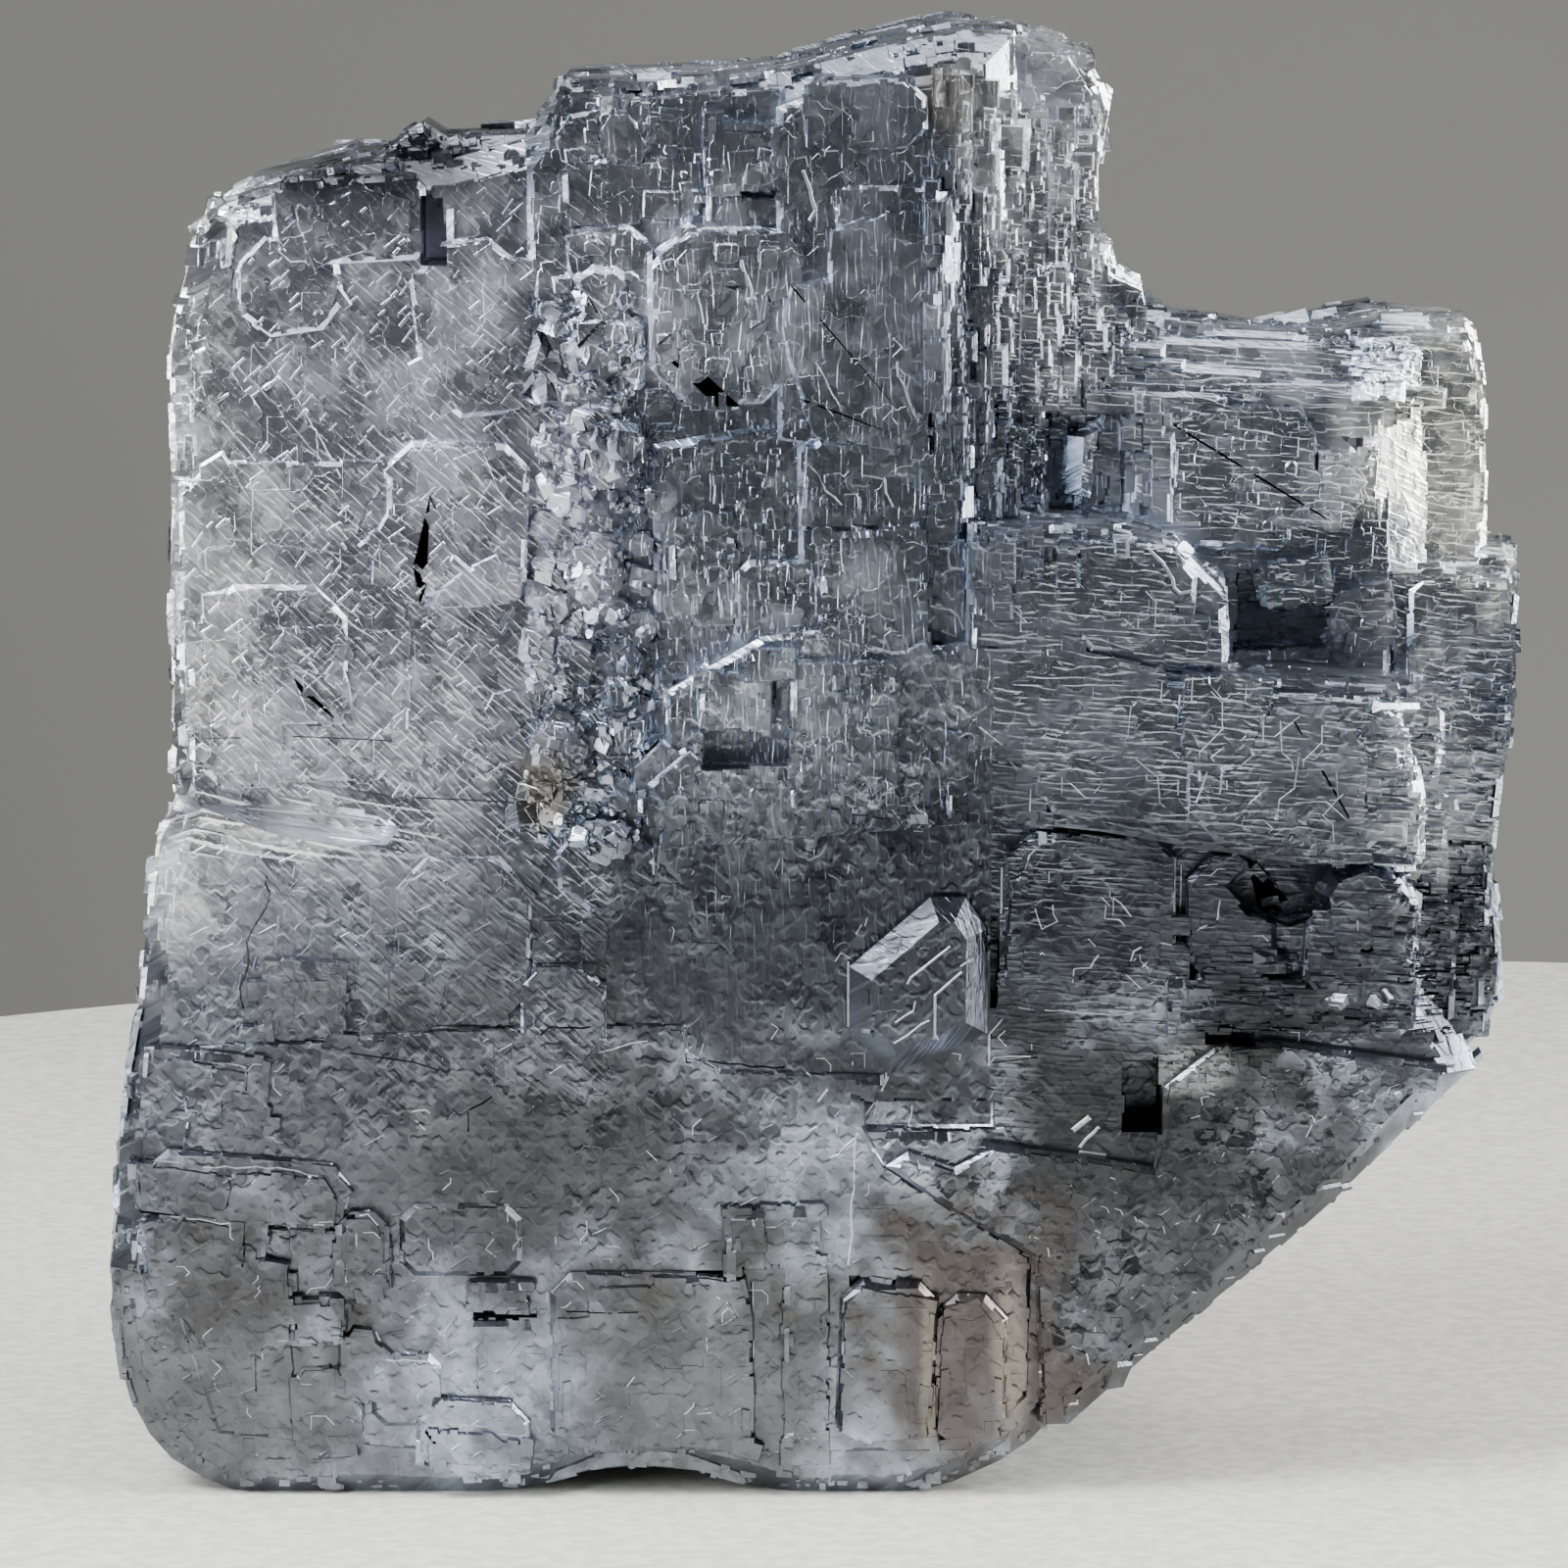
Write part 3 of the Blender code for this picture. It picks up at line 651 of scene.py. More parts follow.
@dataclass
class Trace:
    """A line through given points: a low roof-shaped ridge, or a crack where it has a depth."""

    points: Outline
    width: float = 0.2
    depth: float = 0.0
    stray: float = 0.1  # how far its pieces stray sideways, mm
    piece: float = 1.2  # the longest straight piece, mm
    side: Side = Side.FRONT
    scattered: bool = False
    shortest: float = 0.05  # the shortest piece, mm
    support: float = 0.25  # how far the skin may lie from its corners, mm
    carried: float = 0.9  # the share of a piece that the skin has to carry
    crack_top: float = 0.5  # how far above the skin a crack's cutter starts, mm

    def grow(self, skin: Skin, batches: Batches, rng: random.Random) -> None:
        """Draws the line.

        Args:
            skin: the stone's surface.
            batches: where its pieces go.
            rng: the source of chance.
        """
        for (a0, b0), (a1, b1) in zip(self.points, self.points[1:]):
            count = max(1, math.ceil(math.hypot(a1 - a0, b1 - b0) / self.piece))
            shifts = [0.0] + [rng.gauss(0.0, self.stray) for _ in range(count - 1)] + [0.0]
            along = Vector((a1 - a0, b1 - b0)).normalized()
            knots = []
            for number, shift in enumerate(shifts):
                share = number / count
                a, b = a0 + (a1 - a0) * share, b0 + (b1 - b0) * share
                knots.append((a - along.y * shift, b + along.x * shift))
            for start, end in zip(knots, knots[1:]):
                self.run(start, end, skin, batches)

    def run(
        self, start: Pair, end: Pair, skin: Skin, batches: Batches
    ) -> bool:
        """Sets one straight piece.

        Args:
            start: where it starts.
            end: where it ends.
            skin: the stone's surface.
            batches: where it goes.

        Returns:
            False where the skin doesn't carry it.
        """
        du, dv = end[0] - start[0], end[1] - start[1]
        length = math.hypot(du, dv)
        seat = skin.place(self.side, (start[0] + end[0]) / 2, (start[1] + end[1]) / 2)
        if seat is None or length < self.shortest:
            return False
        reach = self.carried * abs(du), self.carried * abs(dv)
        if not skin.carries(self.side, seat, *reach, self.support, self.scattered):
            return False
        shape = cut_rectangle(length + 0.5 * self.width, self.width, 0.0)
        if self.depth > 0.0:
            plate = Plate(shape, self.crack_top, root=self.depth, slope=0.0, steep=0.0)
        else:
            lift = RIDGE_SHARE * self.width / RIDGE_RUN
            plate = Plate(shape, lift, slope=RIDGE_RUN, steep=RIDGE_RUN)
        plate.turn = math.degrees(math.atan2(dv, du))
        batches.add(*plate.rings(seat))
        return True


@dataclass
class Wanderings:
    """Many short lines that go in straight runs with square and diagonal turns."""

    side: Side
    outline: Outline
    count: int
    runs: tuple[int, int] = (2, 6)
    length: Pair = (0.4, 2.0)  # of a run, mm
    width: Pair = (0.12, 0.24)
    turns: tuple[float, ...] = (-90.0, -45.0, -45.0, 45.0, 45.0, 90.0)
    first: tuple[float, ...] = (0.0, 90.0, 45.0, 135.0)  # the ways that a line may start, degrees
    scatter: float = 3.0

    def grow(self, skin: Skin, batches: Batches, rng: random.Random) -> None:
        """Draws the lines.

        Args:
            skin: the stone's surface.
            batches: where their pieces go.
            rng: the source of chance.
        """
        low_a, high_a, low_b, high_b = extent(self.outline)
        for _ in range(self.count):
            here = (rng.uniform(low_a, high_a), rng.uniform(low_b, high_b))
            heading = rng.choice(self.first) + rng.gauss(0.0, self.scatter)
            trace = Trace([], rng.uniform(*self.width), side=self.side, scattered=True)
            for _ in range(rng.randint(*self.runs)):
                length = rng.uniform(*self.length)
                there = (
                    here[0] + length * math.cos(math.radians(heading)),
                    here[1] + length * math.sin(math.radians(heading)),
                )
                if not inside(self.outline, *there) or not trace.run(here, there, skin, batches):
                    break
                here = there
                heading += rng.choice(self.turns)


@dataclass
class EdgeSteps:
    """Small flush steps that break up every long straight edge of the stone."""

    spacing: float = 1.1
    least_length: float = 1.6  # of an edge that gets steps, mm
    least_angle: float = 24.0  # between the faces at it, degrees
    squarest: float = 0.95  # least cosine between a face and the side that sees it
    length: Pair = (0.4, 2.6)
    depth: Pair = (0.5, 1.3)
    reach: Pair = (0.03, 0.3)  # how far they stand out past the edge, mm
    lift: Pair = (0.005, 0.05)
    root: Pair = (0.25, 0.7)
    cut: float = 0.3  # share of steps with cut corners
    corner: Pair = (0.15, 0.3)  # cut of a corner over the smaller size
    slope: float = 0.3
    scatter: float = 1.0  # spread of the turn, degrees
    longest: float = 0.8  # the longest step over the edge's length

    def grow(
        self, mesh: bpy.types.Mesh, sides: list[Side], skin: Skin, batches: Batches, rng: random.Random
    ) -> None:
        """Sets steps along the edges that one of the sides sees.

        Args:
            mesh: the stone, in metres.
            sides: the sides to treat.
            skin: its surface.
            batches: where the steps go.
            rng: the source of chance.
        """
        stone = bmesh.new()
        stone.from_mesh(mesh)
        for edge in stone.edges:
            if edge.calc_length() < self.least_length * MM:
                continue
            if edge.calc_face_angle_signed(0.0) < math.radians(self.least_angle):
                continue
            for face in edge.link_faces:
                if any(-face.normal.dot(side.inwards) > self.squarest for side in sides):
                    self.follow(edge, face, skin, batches, rng)
        stone.free()

    def follow(
        self,
        edge: bmesh.types.BMEdge,
        face: bmesh.types.BMFace,
        skin: Skin,
        batches: Batches,
        rng: random.Random,
    ) -> None:
        """Sets steps along one edge of a face.

        Args:
            edge: the edge.
            face: the face they lie on.
            skin: the stone's surface.
            batches: where the steps go.
            rng: the source of chance.
        """
        start, end = edge.verts[0].co / MM, edge.verts[1].co / MM
        along = (end - start).normalized()
        outwards = along.cross(face.normal)
        if outwards.dot(face.calc_center_median() / MM - start) > 0.0:
            outwards.negate()
        span = (end - start).length
        for _ in range(max(1, round(span / self.spacing))):
            shortest, most = self.length
            length = min(shortest + (most - shortest) * rng.random() ** 2, self.longest * span)
            depth = rng.uniform(*self.depth)
            reach = rng.uniform(*self.reach)
            point = start.lerp(end, rng.random()) - outwards * (depth / 2 - reach)
            if point.y < 0.0 and skin.stays_bare(Side.FRONT, point.x, point.z):
                continue
            corner = rng.uniform(*self.corner) * min(length, depth) if rng.random() < self.cut else 0.0
            plate = Plate(
                cut_rectangle(length, depth, corner),
                lift=rng.uniform(*self.lift),
                turn=rng.gauss(0.0, self.scatter),
                root=rng.uniform(*self.root),
                slope=self.slope,
                steep=self.slope,
            )
            seat = Place(point, face.normal.copy(), outwards.cross(face.normal), outwards)
            batches.add(*plate.rings(seat))


Part = Sheet | Field | Trace | Wanderings


@dataclass
class Growth:
    """A piece made of many plates fused into one closed mesh, on the stone itself or as a crust on it."""

    name: str
    parts: list[Part]
    edges: EdgeSteps | None = None
    edge_sides: list[Side] = field(default_factory=list)
    cracks: list[Trace] = field(default_factory=list)
    # whether the piece gets the lighter metal, a painted highlight
    bright: bool = False

    def build(
        self, stone: bpy.types.Mesh, skin: Skin, rng: random.Random, on_stone: bool
    ) -> bpy.types.Object:
        """Builds the piece.

        Args:
            stone: the stone so far, closed, in metres.
            skin: its surface.
            rng: the source of chance.
            on_stone: whether the piece holds the stone too.

        Returns:
            The piece.
        """
        batches = Batches(skin.low, skin.high)
        for part in self.parts:
            part.grow(skin, batches, rng)
        if self.edges is not None:
            self.edges.grow(stone, self.edge_sides, skin, batches, rng)
        beyond = Vector((CUT_ROOM, CUT_ROOM, CUT_ROOM))
        cuts = Batches(skin.low - beyond, skin.high + beyond)
        for crack in self.cracks:
            crack.grow(skin, cuts, rng)
        helpers = batches.objects(self.name)
        if on_stone:
            piece = bpy.data.objects.new(self.name, stone.copy())
            bpy.context.scene.collection.objects.link(piece)
        else:
            piece = helpers.pop(0)
            piece.name = self.name
        fuse(piece, helpers, cuts.objects(self.name + "_cut"))
        piece.data.calc_loop_triangles()
        log.info("%s: %d plates, %d triangles", self.name, batches.count, len(piece.data.loop_triangles))
        return piece


def fuse(piece: bpy.types.Object, helpers: list[bpy.types.Object], cuts: list[bpy.types.Object]) -> None:
    """Joins the helpers to the piece in one closed mesh, cuts the cuts from it, and removes both.

    Args:
        piece: the piece that stays.
        helpers: closed meshes, each free of overlaps within itself.
        cuts: closed meshes of the same kind.
    """
    for helper in helpers + cuts:
        modifier = piece.modifiers.new(helper.name, "BOOLEAN")
        modifier.operation = "DIFFERENCE" if helper in cuts else "UNION"
        modifier.solver = "MANIFOLD"
        modifier.object = helper
    bpy.context.view_layer.update()
    graph = bpy.context.evaluated_depsgraph_get()
    fused = bpy.data.meshes.new_from_object(piece.evaluated_get(graph))
    piece.modifiers.clear()
    piece.data = fused
    fused.name = piece.name
    for helper in helpers + cuts:
        bpy.data.objects.remove(helper)


def bare_stone(node: bpy.types.Object) -> bpy.types.Mesh:
    """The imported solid's mesh with its split corners welded.

    Args:
        node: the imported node.

    Returns:
        A closed mesh in metres.
    """
    shape = bmesh.new()
    shape.from_mesh(node.data)
    bmesh.ops.remove_doubles(shape, verts=shape.verts, dist=WELD)
    bmesh.ops.recalc_face_normals(shape, faces=shape.faces)
    mesh = bpy.data.meshes.new("bare_stone")
    shape.to_mesh(mesh)
    shape.free()
    return mesh


# ---- node helpers --------------------------------------------------------------------------------

Socket = bpy.types.NodeSocket
MID_GREY = (0.5, 0.5, 0.5)
RIM_OF_PATCH = (1.2, 0.4)  # where a patch ends and where it is full, over its half sizes
LINE_RANGE = (0.5, 0.75)  # the noise at the foot and at the crest of a line
MIX_COLOURS = (6, 7)  # the Mix node's colour inputs, whose names its other inputs share
MIX_RESULT = 2


class Wiring:
    """Adds and joins shader nodes in one tree."""

    def __init__(self, tree: bpy.types.NodeTree) -> None:
        """Takes the tree that the nodes go in."""
        self.tree = tree

    def node(
        self, kind: str, inputs: dict[str | int, object] | None = None, **settings: object
    ) -> bpy.types.Node:
        """Adds a node.

        Args:
            kind: its type's name after ShaderNode.
            inputs: values or output sockets, by input name or number.
            settings: the node's own properties.

        Returns:
            The node.
        """
        made = self.tree.nodes.new("ShaderNode" + kind)
        for name, value in settings.items():
            setattr(made, name, value)
        for key, value in (inputs or {}).items():
            self.feed(made.inputs[key], value)
        return made

    def feed(self, socket: Socket, value: object) -> None:
        """Gives a socket a value or a link.

        Args:
            socket: the input.
            value: what it gets.
        """
        if isinstance(value, Socket):
            self.tree.links.new(value, socket)
        else:
            socket.default_value = value

    def math(self, operation: str, *values: object) -> Socket:
        """Adds a Math node and gives its output."""
        made = self.node("Math", dict(enumerate(values)), operation=operation)
        return made.outputs[0]

    def vector(self, operation: str, *values: object) -> Socket:
        """Adds a Vector Math node.

        Args:
            operation: what it does.
            values: its inputs in order; the second of SCALE is the number.

        Returns:
            Its vector output.
        """
        keys = dict(enumerate(values))
        if operation == "SCALE":
            keys = {0: values[0], "Scale": values[1]}
        return self.node("VectorMath", keys, operation=operation).outputs["Vector"]

    def ramp(
        self, value: object, low: float, high: float, out_low: float = 0.0, out_high: float = 1.0
    ) -> Socket:
        """Eases a value from one range to another and gives the result."""
        keys = {"Value": value, "From Min": low, "From Max": high, "To Min": out_low, "To Max": out_high}
        return self.node("MapRange", keys, interpolation_type="SMOOTHSTEP").outputs["Result"]

    def mix(self, factor: object, first: object, second: object) -> Socket:
        """Mixes two colours and gives the result."""
        keys = {"Factor": factor, **dict(zip(MIX_COLOURS, (first, second)))}
        return self.node("Mix", keys, data_type="RGBA").outputs[MIX_RESULT]


def new_group(
    name: str, inputs: dict[str, str], outputs: dict[str, str]
) -> tuple[Wiring, bpy.types.Node, bpy.types.Node]:
    """Starts a shader node group.

    Args:
        name: the group's name.
        inputs: socket types by input name.
        outputs: socket types by output name.

    Returns:
        Its wiring, its input node and its output node.
    """
    tree = bpy.data.node_groups.new(name, "ShaderNodeTree")
    for label, kind in inputs.items():
        tree.interface.new_socket(label, in_out="INPUT", socket_type="NodeSocket" + kind)
    for label, kind in outputs.items():
        tree.interface.new_socket(label, in_out="OUTPUT", socket_type="NodeSocket" + kind)
    return Wiring(tree), tree.nodes.new("NodeGroupInput"), tree.nodes.new("NodeGroupOutput")


@cache
def terraces_group() -> bpy.types.NodeTree:
    """Square-edged growth terraces: each cell has its own level, tone and lean.

    Returns:
        The group. Vector has the place on the drawn-out skin, Scale is in cells for each metre, and
        Stray moves the edges, in cells.
    """
    wiring, given, result = new_group(
        "cubic_terraces",
        {"Vector": "Vector", "Scale": "Float", "Stray": "Vector"},
        {"Level": "Float", "Tone": "Float", "Lean": "Vector"},
    )
    scaled = wiring.vector("SCALE", given.outputs["Vector"], given.outputs["Scale"])
    moved = wiring.vector("ADD", scaled, given.outputs["Stray"])
    settings = {"distance": "CHEBYCHEV", "voronoi_dimensions": "2D"}
    cells = wiring.node("TexVoronoi", {"Vector": moved, "Scale": 1.0}, **settings).outputs["Color"]
    parts = wiring.node("SeparateColor", {"Color": cells})
    wiring.feed(result.inputs["Level"], parts.outputs[0])
    wiring.feed(result.inputs["Tone"], parts.outputs[1])
    wiring.feed(result.inputs["Lean"], wiring.vector("SUBTRACT", cells, MID_GREY))
    return wiring.tree


@cache
def striations_group() -> bpy.types.NodeTree:
    """Fine parallel lines on the broad faces.

    Returns:
        The group. Turn is their angle from upright in radians, Pitch their number for each metre, and
        Length how much longer than wide they are.
    """
    wiring, given, result = new_group(
        "striations",
        {"Vector": "Vector", "Turn": "Float", "Pitch": "Float", "Length": "Float"},
        {"Height": "Float"},
    )
    keys = {"Vector": given.outputs["Vector"], "Angle": given.outputs["Turn"]}
    turned = wiring.node("VectorRotate", keys, rotation_type="Z_AXIS")
    parts = wiring.node("SeparateXYZ", {"Vector": turned.outputs["Vector"]})
    short = wiring.math("DIVIDE", parts.outputs["Y"], given.outputs["Length"])
    drawn = wiring.node("CombineXYZ", {"X": parts.outputs["X"], "Y": short}).outputs[0]
    keys = {"Vector": drawn, "Scale": given.outputs["Pitch"], "Detail": 0.0}
    lines = wiring.node("TexNoise", keys, noise_dimensions="2D")
    wiring.feed(result.inputs["Height"], wiring.ramp(lines.outputs["Fac"], *LINE_RANGE))
    return wiring.tree


@cache
def patch_group() -> bpy.types.NodeTree:
    """A soft-edged ellipsoid with a ragged rim.

    Returns:
        The group. Centre and Radii are in metres, and Stray from -1 to 1 moves the rim.
    """
    wiring, given, result = new_group(
        "soft_patch",
        {"Vector": "Vector", "Centre": "Vector", "Radii": "Vector", "Stray": "Float"},
        {"Mask": "Float"},
    )
    about = wiring.vector("SUBTRACT", given.outputs["Vector"], given.outputs["Centre"])
    scaled = wiring.vector("DIVIDE", about, given.outputs["Radii"])
    length = wiring.node("VectorMath", {0: scaled}, operation="LENGTH").outputs["Value"]
    strayed = wiring.math("ADD", length, given.outputs["Stray"])
    wiring.feed(result.inputs["Mask"], wiring.ramp(strayed, *RIM_OF_PATCH))
    return wiring.tree


# ---- finishes ------------------------------------------------------------------------------------


@dataclass(frozen=True)
class Patch:
    """A soft place on the stone whose colour is mixed towards a tint, in mm: most are painted highlights or
    painted shade, a few are brown stains.
    """

    centre: Triple
    radii: Triple
    colour: Triple
    share: float


@dataclass(frozen=True)
class Terraces:
    """One set of square growth terraces in the metal."""

    scale: float  # cells for each metre
    stray: float  # of their edges, in cells
    lean: float  # of their faces
    level: float  # of their heights, over the bump


@dataclass(frozen=True)
class Lines:
    """One set of fine parallel lines, kept to a place."""

    turns: Triple  # degrees from upright at the left, in the middle and at the right
    pitch: float  # their number for each metre
    length: float  # over their width
    depth: float  # over the bump
    centre: Triple
    radii: Triple


@dataclass(frozen=True)
class GalenaFinish:
    """Lead-grey metal: lighter and more polished where its random tone is high, darker and matter where it
    is low, with painted highlights and painted shade in given places and a few brown stains.
    """

    name: str = "galena_metal"
    dark: Triple = (0.075, 0.088, 0.113)
    light: Triple = (0.45, 0.5, 0.59)
    roughness: Pair = (0.24, 0.38)  # of the light and of the dark metal
    terraces: tuple[Terraces, ...] = (
        Terraces(130.0, 0.2, 0.03, 0.0),
        Terraces(430.0, 0.5, 0.06, 0.7),
        Terraces(1500.0, 0.9, 0.07, 0.0),
    )
    tone_share: float = 0.22  # of each set of terraces in the mix of dark and light
    cloud_share: float = 0.4  # of the clouds in it
    cloud_scale: float = 170.0  # for each metre
    grain_scale: float = 1300.0  # for each metre
    grain_height: float = 0.45  # over the bump
    bump: float = 0.00004  # in metres
    patch_stray: float = 1.4  # how far clouds move the patches' rims, over their half sizes
    cloud_range: Pair = (0.3, 0.7)  # the noise where the clouds are none and full
    grain_range: Pair = (0.5, 0.75)  # the noise at the foot and at the top of a grain
    matt_range: Pair = (0.2, 0.8)  # the tones between which the metal goes from matt to polished
    smooth_centre: Triple = (7.4, -14.0, 36.0)  # of the mirror place, mm
    smooth_radii: Triple = (6.5, 12.0, 8.5)
    smooth_lean: float = 0.25  # what is left of the leans there
    shear: float = 0.7  # how far the drawn-out skin climbs for each mm of depth
    lines: tuple[Lines, ...] = (
        Lines((48.0, 0.0, 86.0), 3100.0, 7.0, 0.58, (4.0, 0.0, 66.0), (62.0, 70.0, 44.0)),
        Lines((79.0, 79.0, 79.0), 1800.0, 14.0, 2.0, (-36.0, -14.0, 46.6), (11.0, 20.0, 2.8)),
    )
    domains: Pair = (-14.0, 12.0)  # where the lines change their turn, left to right, mm
    # painted highlights and painted shade in given places, and a few brown stains and streaks
    patches: tuple[Patch, ...] = (
        Patch((-38.0, -14.0, 72.0), (26.0, 80.0, 36.0), (0.78, 0.77, 0.88), 0.8),  # painted sheen of the upper left: lighter lavender for the soft reflection there
        Patch((-44.0, -14.0, 70.0), (7.0, 80.0, 32.0), (0.97, 0.97, 1.0), 0.9),  # painted highlight along the left rim
        Patch((6.0, -14.0, 40.0), (34.0, 60.0, 13.0), (0.05, 0.055, 0.068), 0.8),  # painted shade on the sunken floor under the bench's overhang
        Patch((32.0, -14.0, 38.0), (14.0, 60.0, 12.0), (0.07, 0.075, 0.09), 0.6),  # painted shade on the blocks under the bench
        Patch((-26.0, -14.0, 25.0), (26.0, 60.0, 16.0), (0.08, 0.077, 0.084), 0.78),  # painted shade over the lower left
        Patch((-13.0, -14.0, 23.0), (15.0, 60.0, 9.0), (0.06, 0.063, 0.068), 0.6),  # painted shade under the dark floor
        Patch((-42.0, -14.0, 7.0), (16.0, 40.0, 13.0), (0.08, 0.076, 0.076), 0.75),  # painted shade in the lower left corner
        Patch((26.0, -14.0, 17.0), (24.0, 60.0, 19.0), (0.055, 0.052, 0.053), 0.85),  # painted shade on the wedge
        Patch((10.0, -14.0, 10.0), (10.0, 12.0, 13.0), (0.1, 0.085, 0.08), 0.85),  # brownish foot
        Patch((7.8, -14.0, 9.0), (0.7, 12.0, 7.0), (0.3, 0.27, 0.23), 0.6),  # streak on the foot
        Patch((13.4, -14.0, 10.0), (1.4, 12.0, 8.0), (0.34, 0.3, 0.27), 0.6),  # streak on the foot
        Patch((9.5, -14.0, 96.0), (3.0, 6.0, 4.0), (0.2, 0.16, 0.11), 0.6),  # rusty speck on the tower
        Patch((-18.6, -14.0, 48.6), (2.5, 4.0, 4.0), (0.26, 0.23, 0.17), 0.6),  # rusty speck in the band
        Patch((-31.0, -8.0, 92.0), (12.0, 24.0, 4.5), (0.05, 0.055, 0.065), 0.92),  # painted shade on the top rim at the left, which keeps it from catching the top light
        Patch((-21.0, -4.0, 97.0), (8.0, 18.0, 4.0), (0.06, 0.065, 0.075), 0.9),  # painted shade on the top rim by the tower
        Patch((-9.0, -14.0, 86.0), (11.0, 60.0, 13.0), (0.75, 0.79, 0.88), 0.75),  # painted highlight on the upper middle
        Patch((-4.0, -14.0, 60.0), (9.0, 60.0, 14.0), (0.5, 0.54, 0.62), 0.6),  # painted highlight on the ground by the tower
        Patch((0.0, -14.0, 78.0), (10.0, 60.0, 20.0), (0.36, 0.4, 0.47), 0.6),  # painted highlight on the tower's face
        Patch((20.0, -14.0, 27.0), (15.0, 60.0, 7.0), (0.05, 0.052, 0.056), 0.7),  # painted shade along the upper edge of the wedge, under the blocks
        Patch((44.5, -14.0, 38.0), (5.0, 60.0, 8.0), (0.06, 0.065, 0.075), 0.85),  # painted shade at the end of the blocks
        Patch((-6.0, -14.0, 8.0), (14.0, 40.0, 11.0), (0.09, 0.087, 0.088), 0.75),  # painted shade over the arch
        Patch((-36.2, -14.0, 46.5), (9.0, 20.0, 2.0), (0.95, 0.97, 1.0), 0.9),  # painted highlight in the notch
        Patch((25.6, -14.0, 30.0), (3.0, 5.0, 1.8), (0.5, 0.51, 0.54), 0.5),  # spot by the hole
        Patch((44.0, -14.0, 72.0), (9.0, 60.0, 12.0), (1.0, 1.0, 1.0), 0.95),  # painted highlight on the end block
        Patch((17.0, -14.0, 90.0), (8.0, 60.0, 16.0), (0.9, 0.92, 0.97), 0.8),  # painted highlight on the tower's stairs
        Patch((30.0, -14.0, 78.0), (12.0, 60.0, 4.0), (0.7, 0.75, 0.84), 0.7),  # painted highlight on the ledges over the recess
        Patch((28.0, -14.0, 70.0), (9.0, 60.0, 6.0), (0.62, 0.67, 0.76), 0.6),  # painted highlight in the recess
        Patch((42.0, -14.0, 50.0), (5.0, 60.0, 9.0), (0.7, 0.73, 0.78), 0.6),  # painted highlight on the end slab
    )

    def material(self) -> bpy.types.Material:
        """Builds the material.

        Returns:
            The material.
        """
        made = bpy.data.materials.new(self.name)
        made.use_nodes = True
        wiring = Wiring(made.node_tree)
        shader = made.node_tree.nodes["Principled BSDF"]
        place = wiring.node("TexCoord").outputs["Object"]
        flat = self.drawn_out(wiring, place)
        keys = {"Vector": place, "Scale": self.cloud_scale, "Detail": 2.0, "Roughness": 0.65}
        cloud = wiring.node("TexNoise", keys).outputs["Fac"]
        stray = wiring.math("MULTIPLY", wiring.math("SUBTRACT", cloud, 0.5), self.patch_stray)
        tone = wiring.ramp(cloud, *self.cloud_range, 0.0, self.cloud_share)
        keys = {"Vector": flat, "Scale": self.grain_scale, "Detail": 0.0}
        grain = wiring.node("TexNoise", keys, noise_dimensions="2D").outputs
        height = wiring.ramp(grain["Fac"], *self.grain_range, 0.0, self.grain_height)
        centred = wiring.vector("SUBTRACT", grain["Color"], MID_GREY)
        height, tone, leans = self.add_terraces(wiring, flat, centred, height, tone)
        height = self.add_lines(wiring, place, flat, height)
        smooth = self.mask(wiring, place, stray, self.smooth_centre, self.smooth_radii)
        leans = wiring.vector("SCALE", leans, wiring.ramp(smooth, 0.0, 1.0, 1.0, self.smooth_lean))
        normal = wiring.vector("ADD", wiring.node("NewGeometry").outputs["Normal"], leans)
        keys = {"Height": height, "Normal": wiring.vector("NORMALIZE", normal), "Distance": self.bump}
        bump = wiring.node("Bump", {"Strength": 1.0, **keys})
        colour = wiring.mix(tone, (*self.dark, 1.0), (*self.light, 1.0))
        # the patches: painted highlights, painted shade and a few stains
        for spot in self.patches:
            mask = self.mask(wiring, place, stray, spot.centre, spot.radii)
            colour = wiring.mix(wiring.math("MULTIPLY", mask, spot.share), colour, (*spot.colour, 1.0))
        polished, matt = self.roughness
        wiring.feed(shader.inputs["Base Color"], colour)
        wiring.feed(shader.inputs["Roughness"], wiring.ramp(tone, *self.matt_range, matt, polished))
        wiring.feed(shader.inputs["Normal"], bump.outputs["Normal"])
        shader.inputs["Metallic"].default_value = 1.0
        return made

    def add_terraces(
        self, wiring: Wiring, flat: Socket, centred: Socket, height: Socket, tone: Socket
    ) -> tuple[Socket, Socket, Socket]:
        """Adds the square growth terraces.

        Args:
            wiring: the material's wiring.
            flat: the place on the drawn-out skin.
            centred: what makes the edges stray.
            height: the height without them.
            tone: the tone without them.

        Returns:
            The height, the tone and the lean of the faces.
        """
        leans = (0.0, 0.0, 0.0)
        for steps in self.terraces:
            keys = {
                "Vector": flat,
                "Scale": steps.scale,
                "Stray": wiring.vector("SCALE", centred, steps.stray),
            }
            step = wiring.node("Group", keys, node_tree=terraces_group()).outputs
            if steps.level > 0.0:
                height = wiring.math("MULTIPLY_ADD", step["Level"], steps.level, height)
            tone = wiring.math("MULTIPLY_ADD", step["Tone"], self.tone_share, tone)
            leans = wiring.vector("ADD", leans, wiring.vector("SCALE", step["Lean"], steps.lean))
        return height, tone, leans

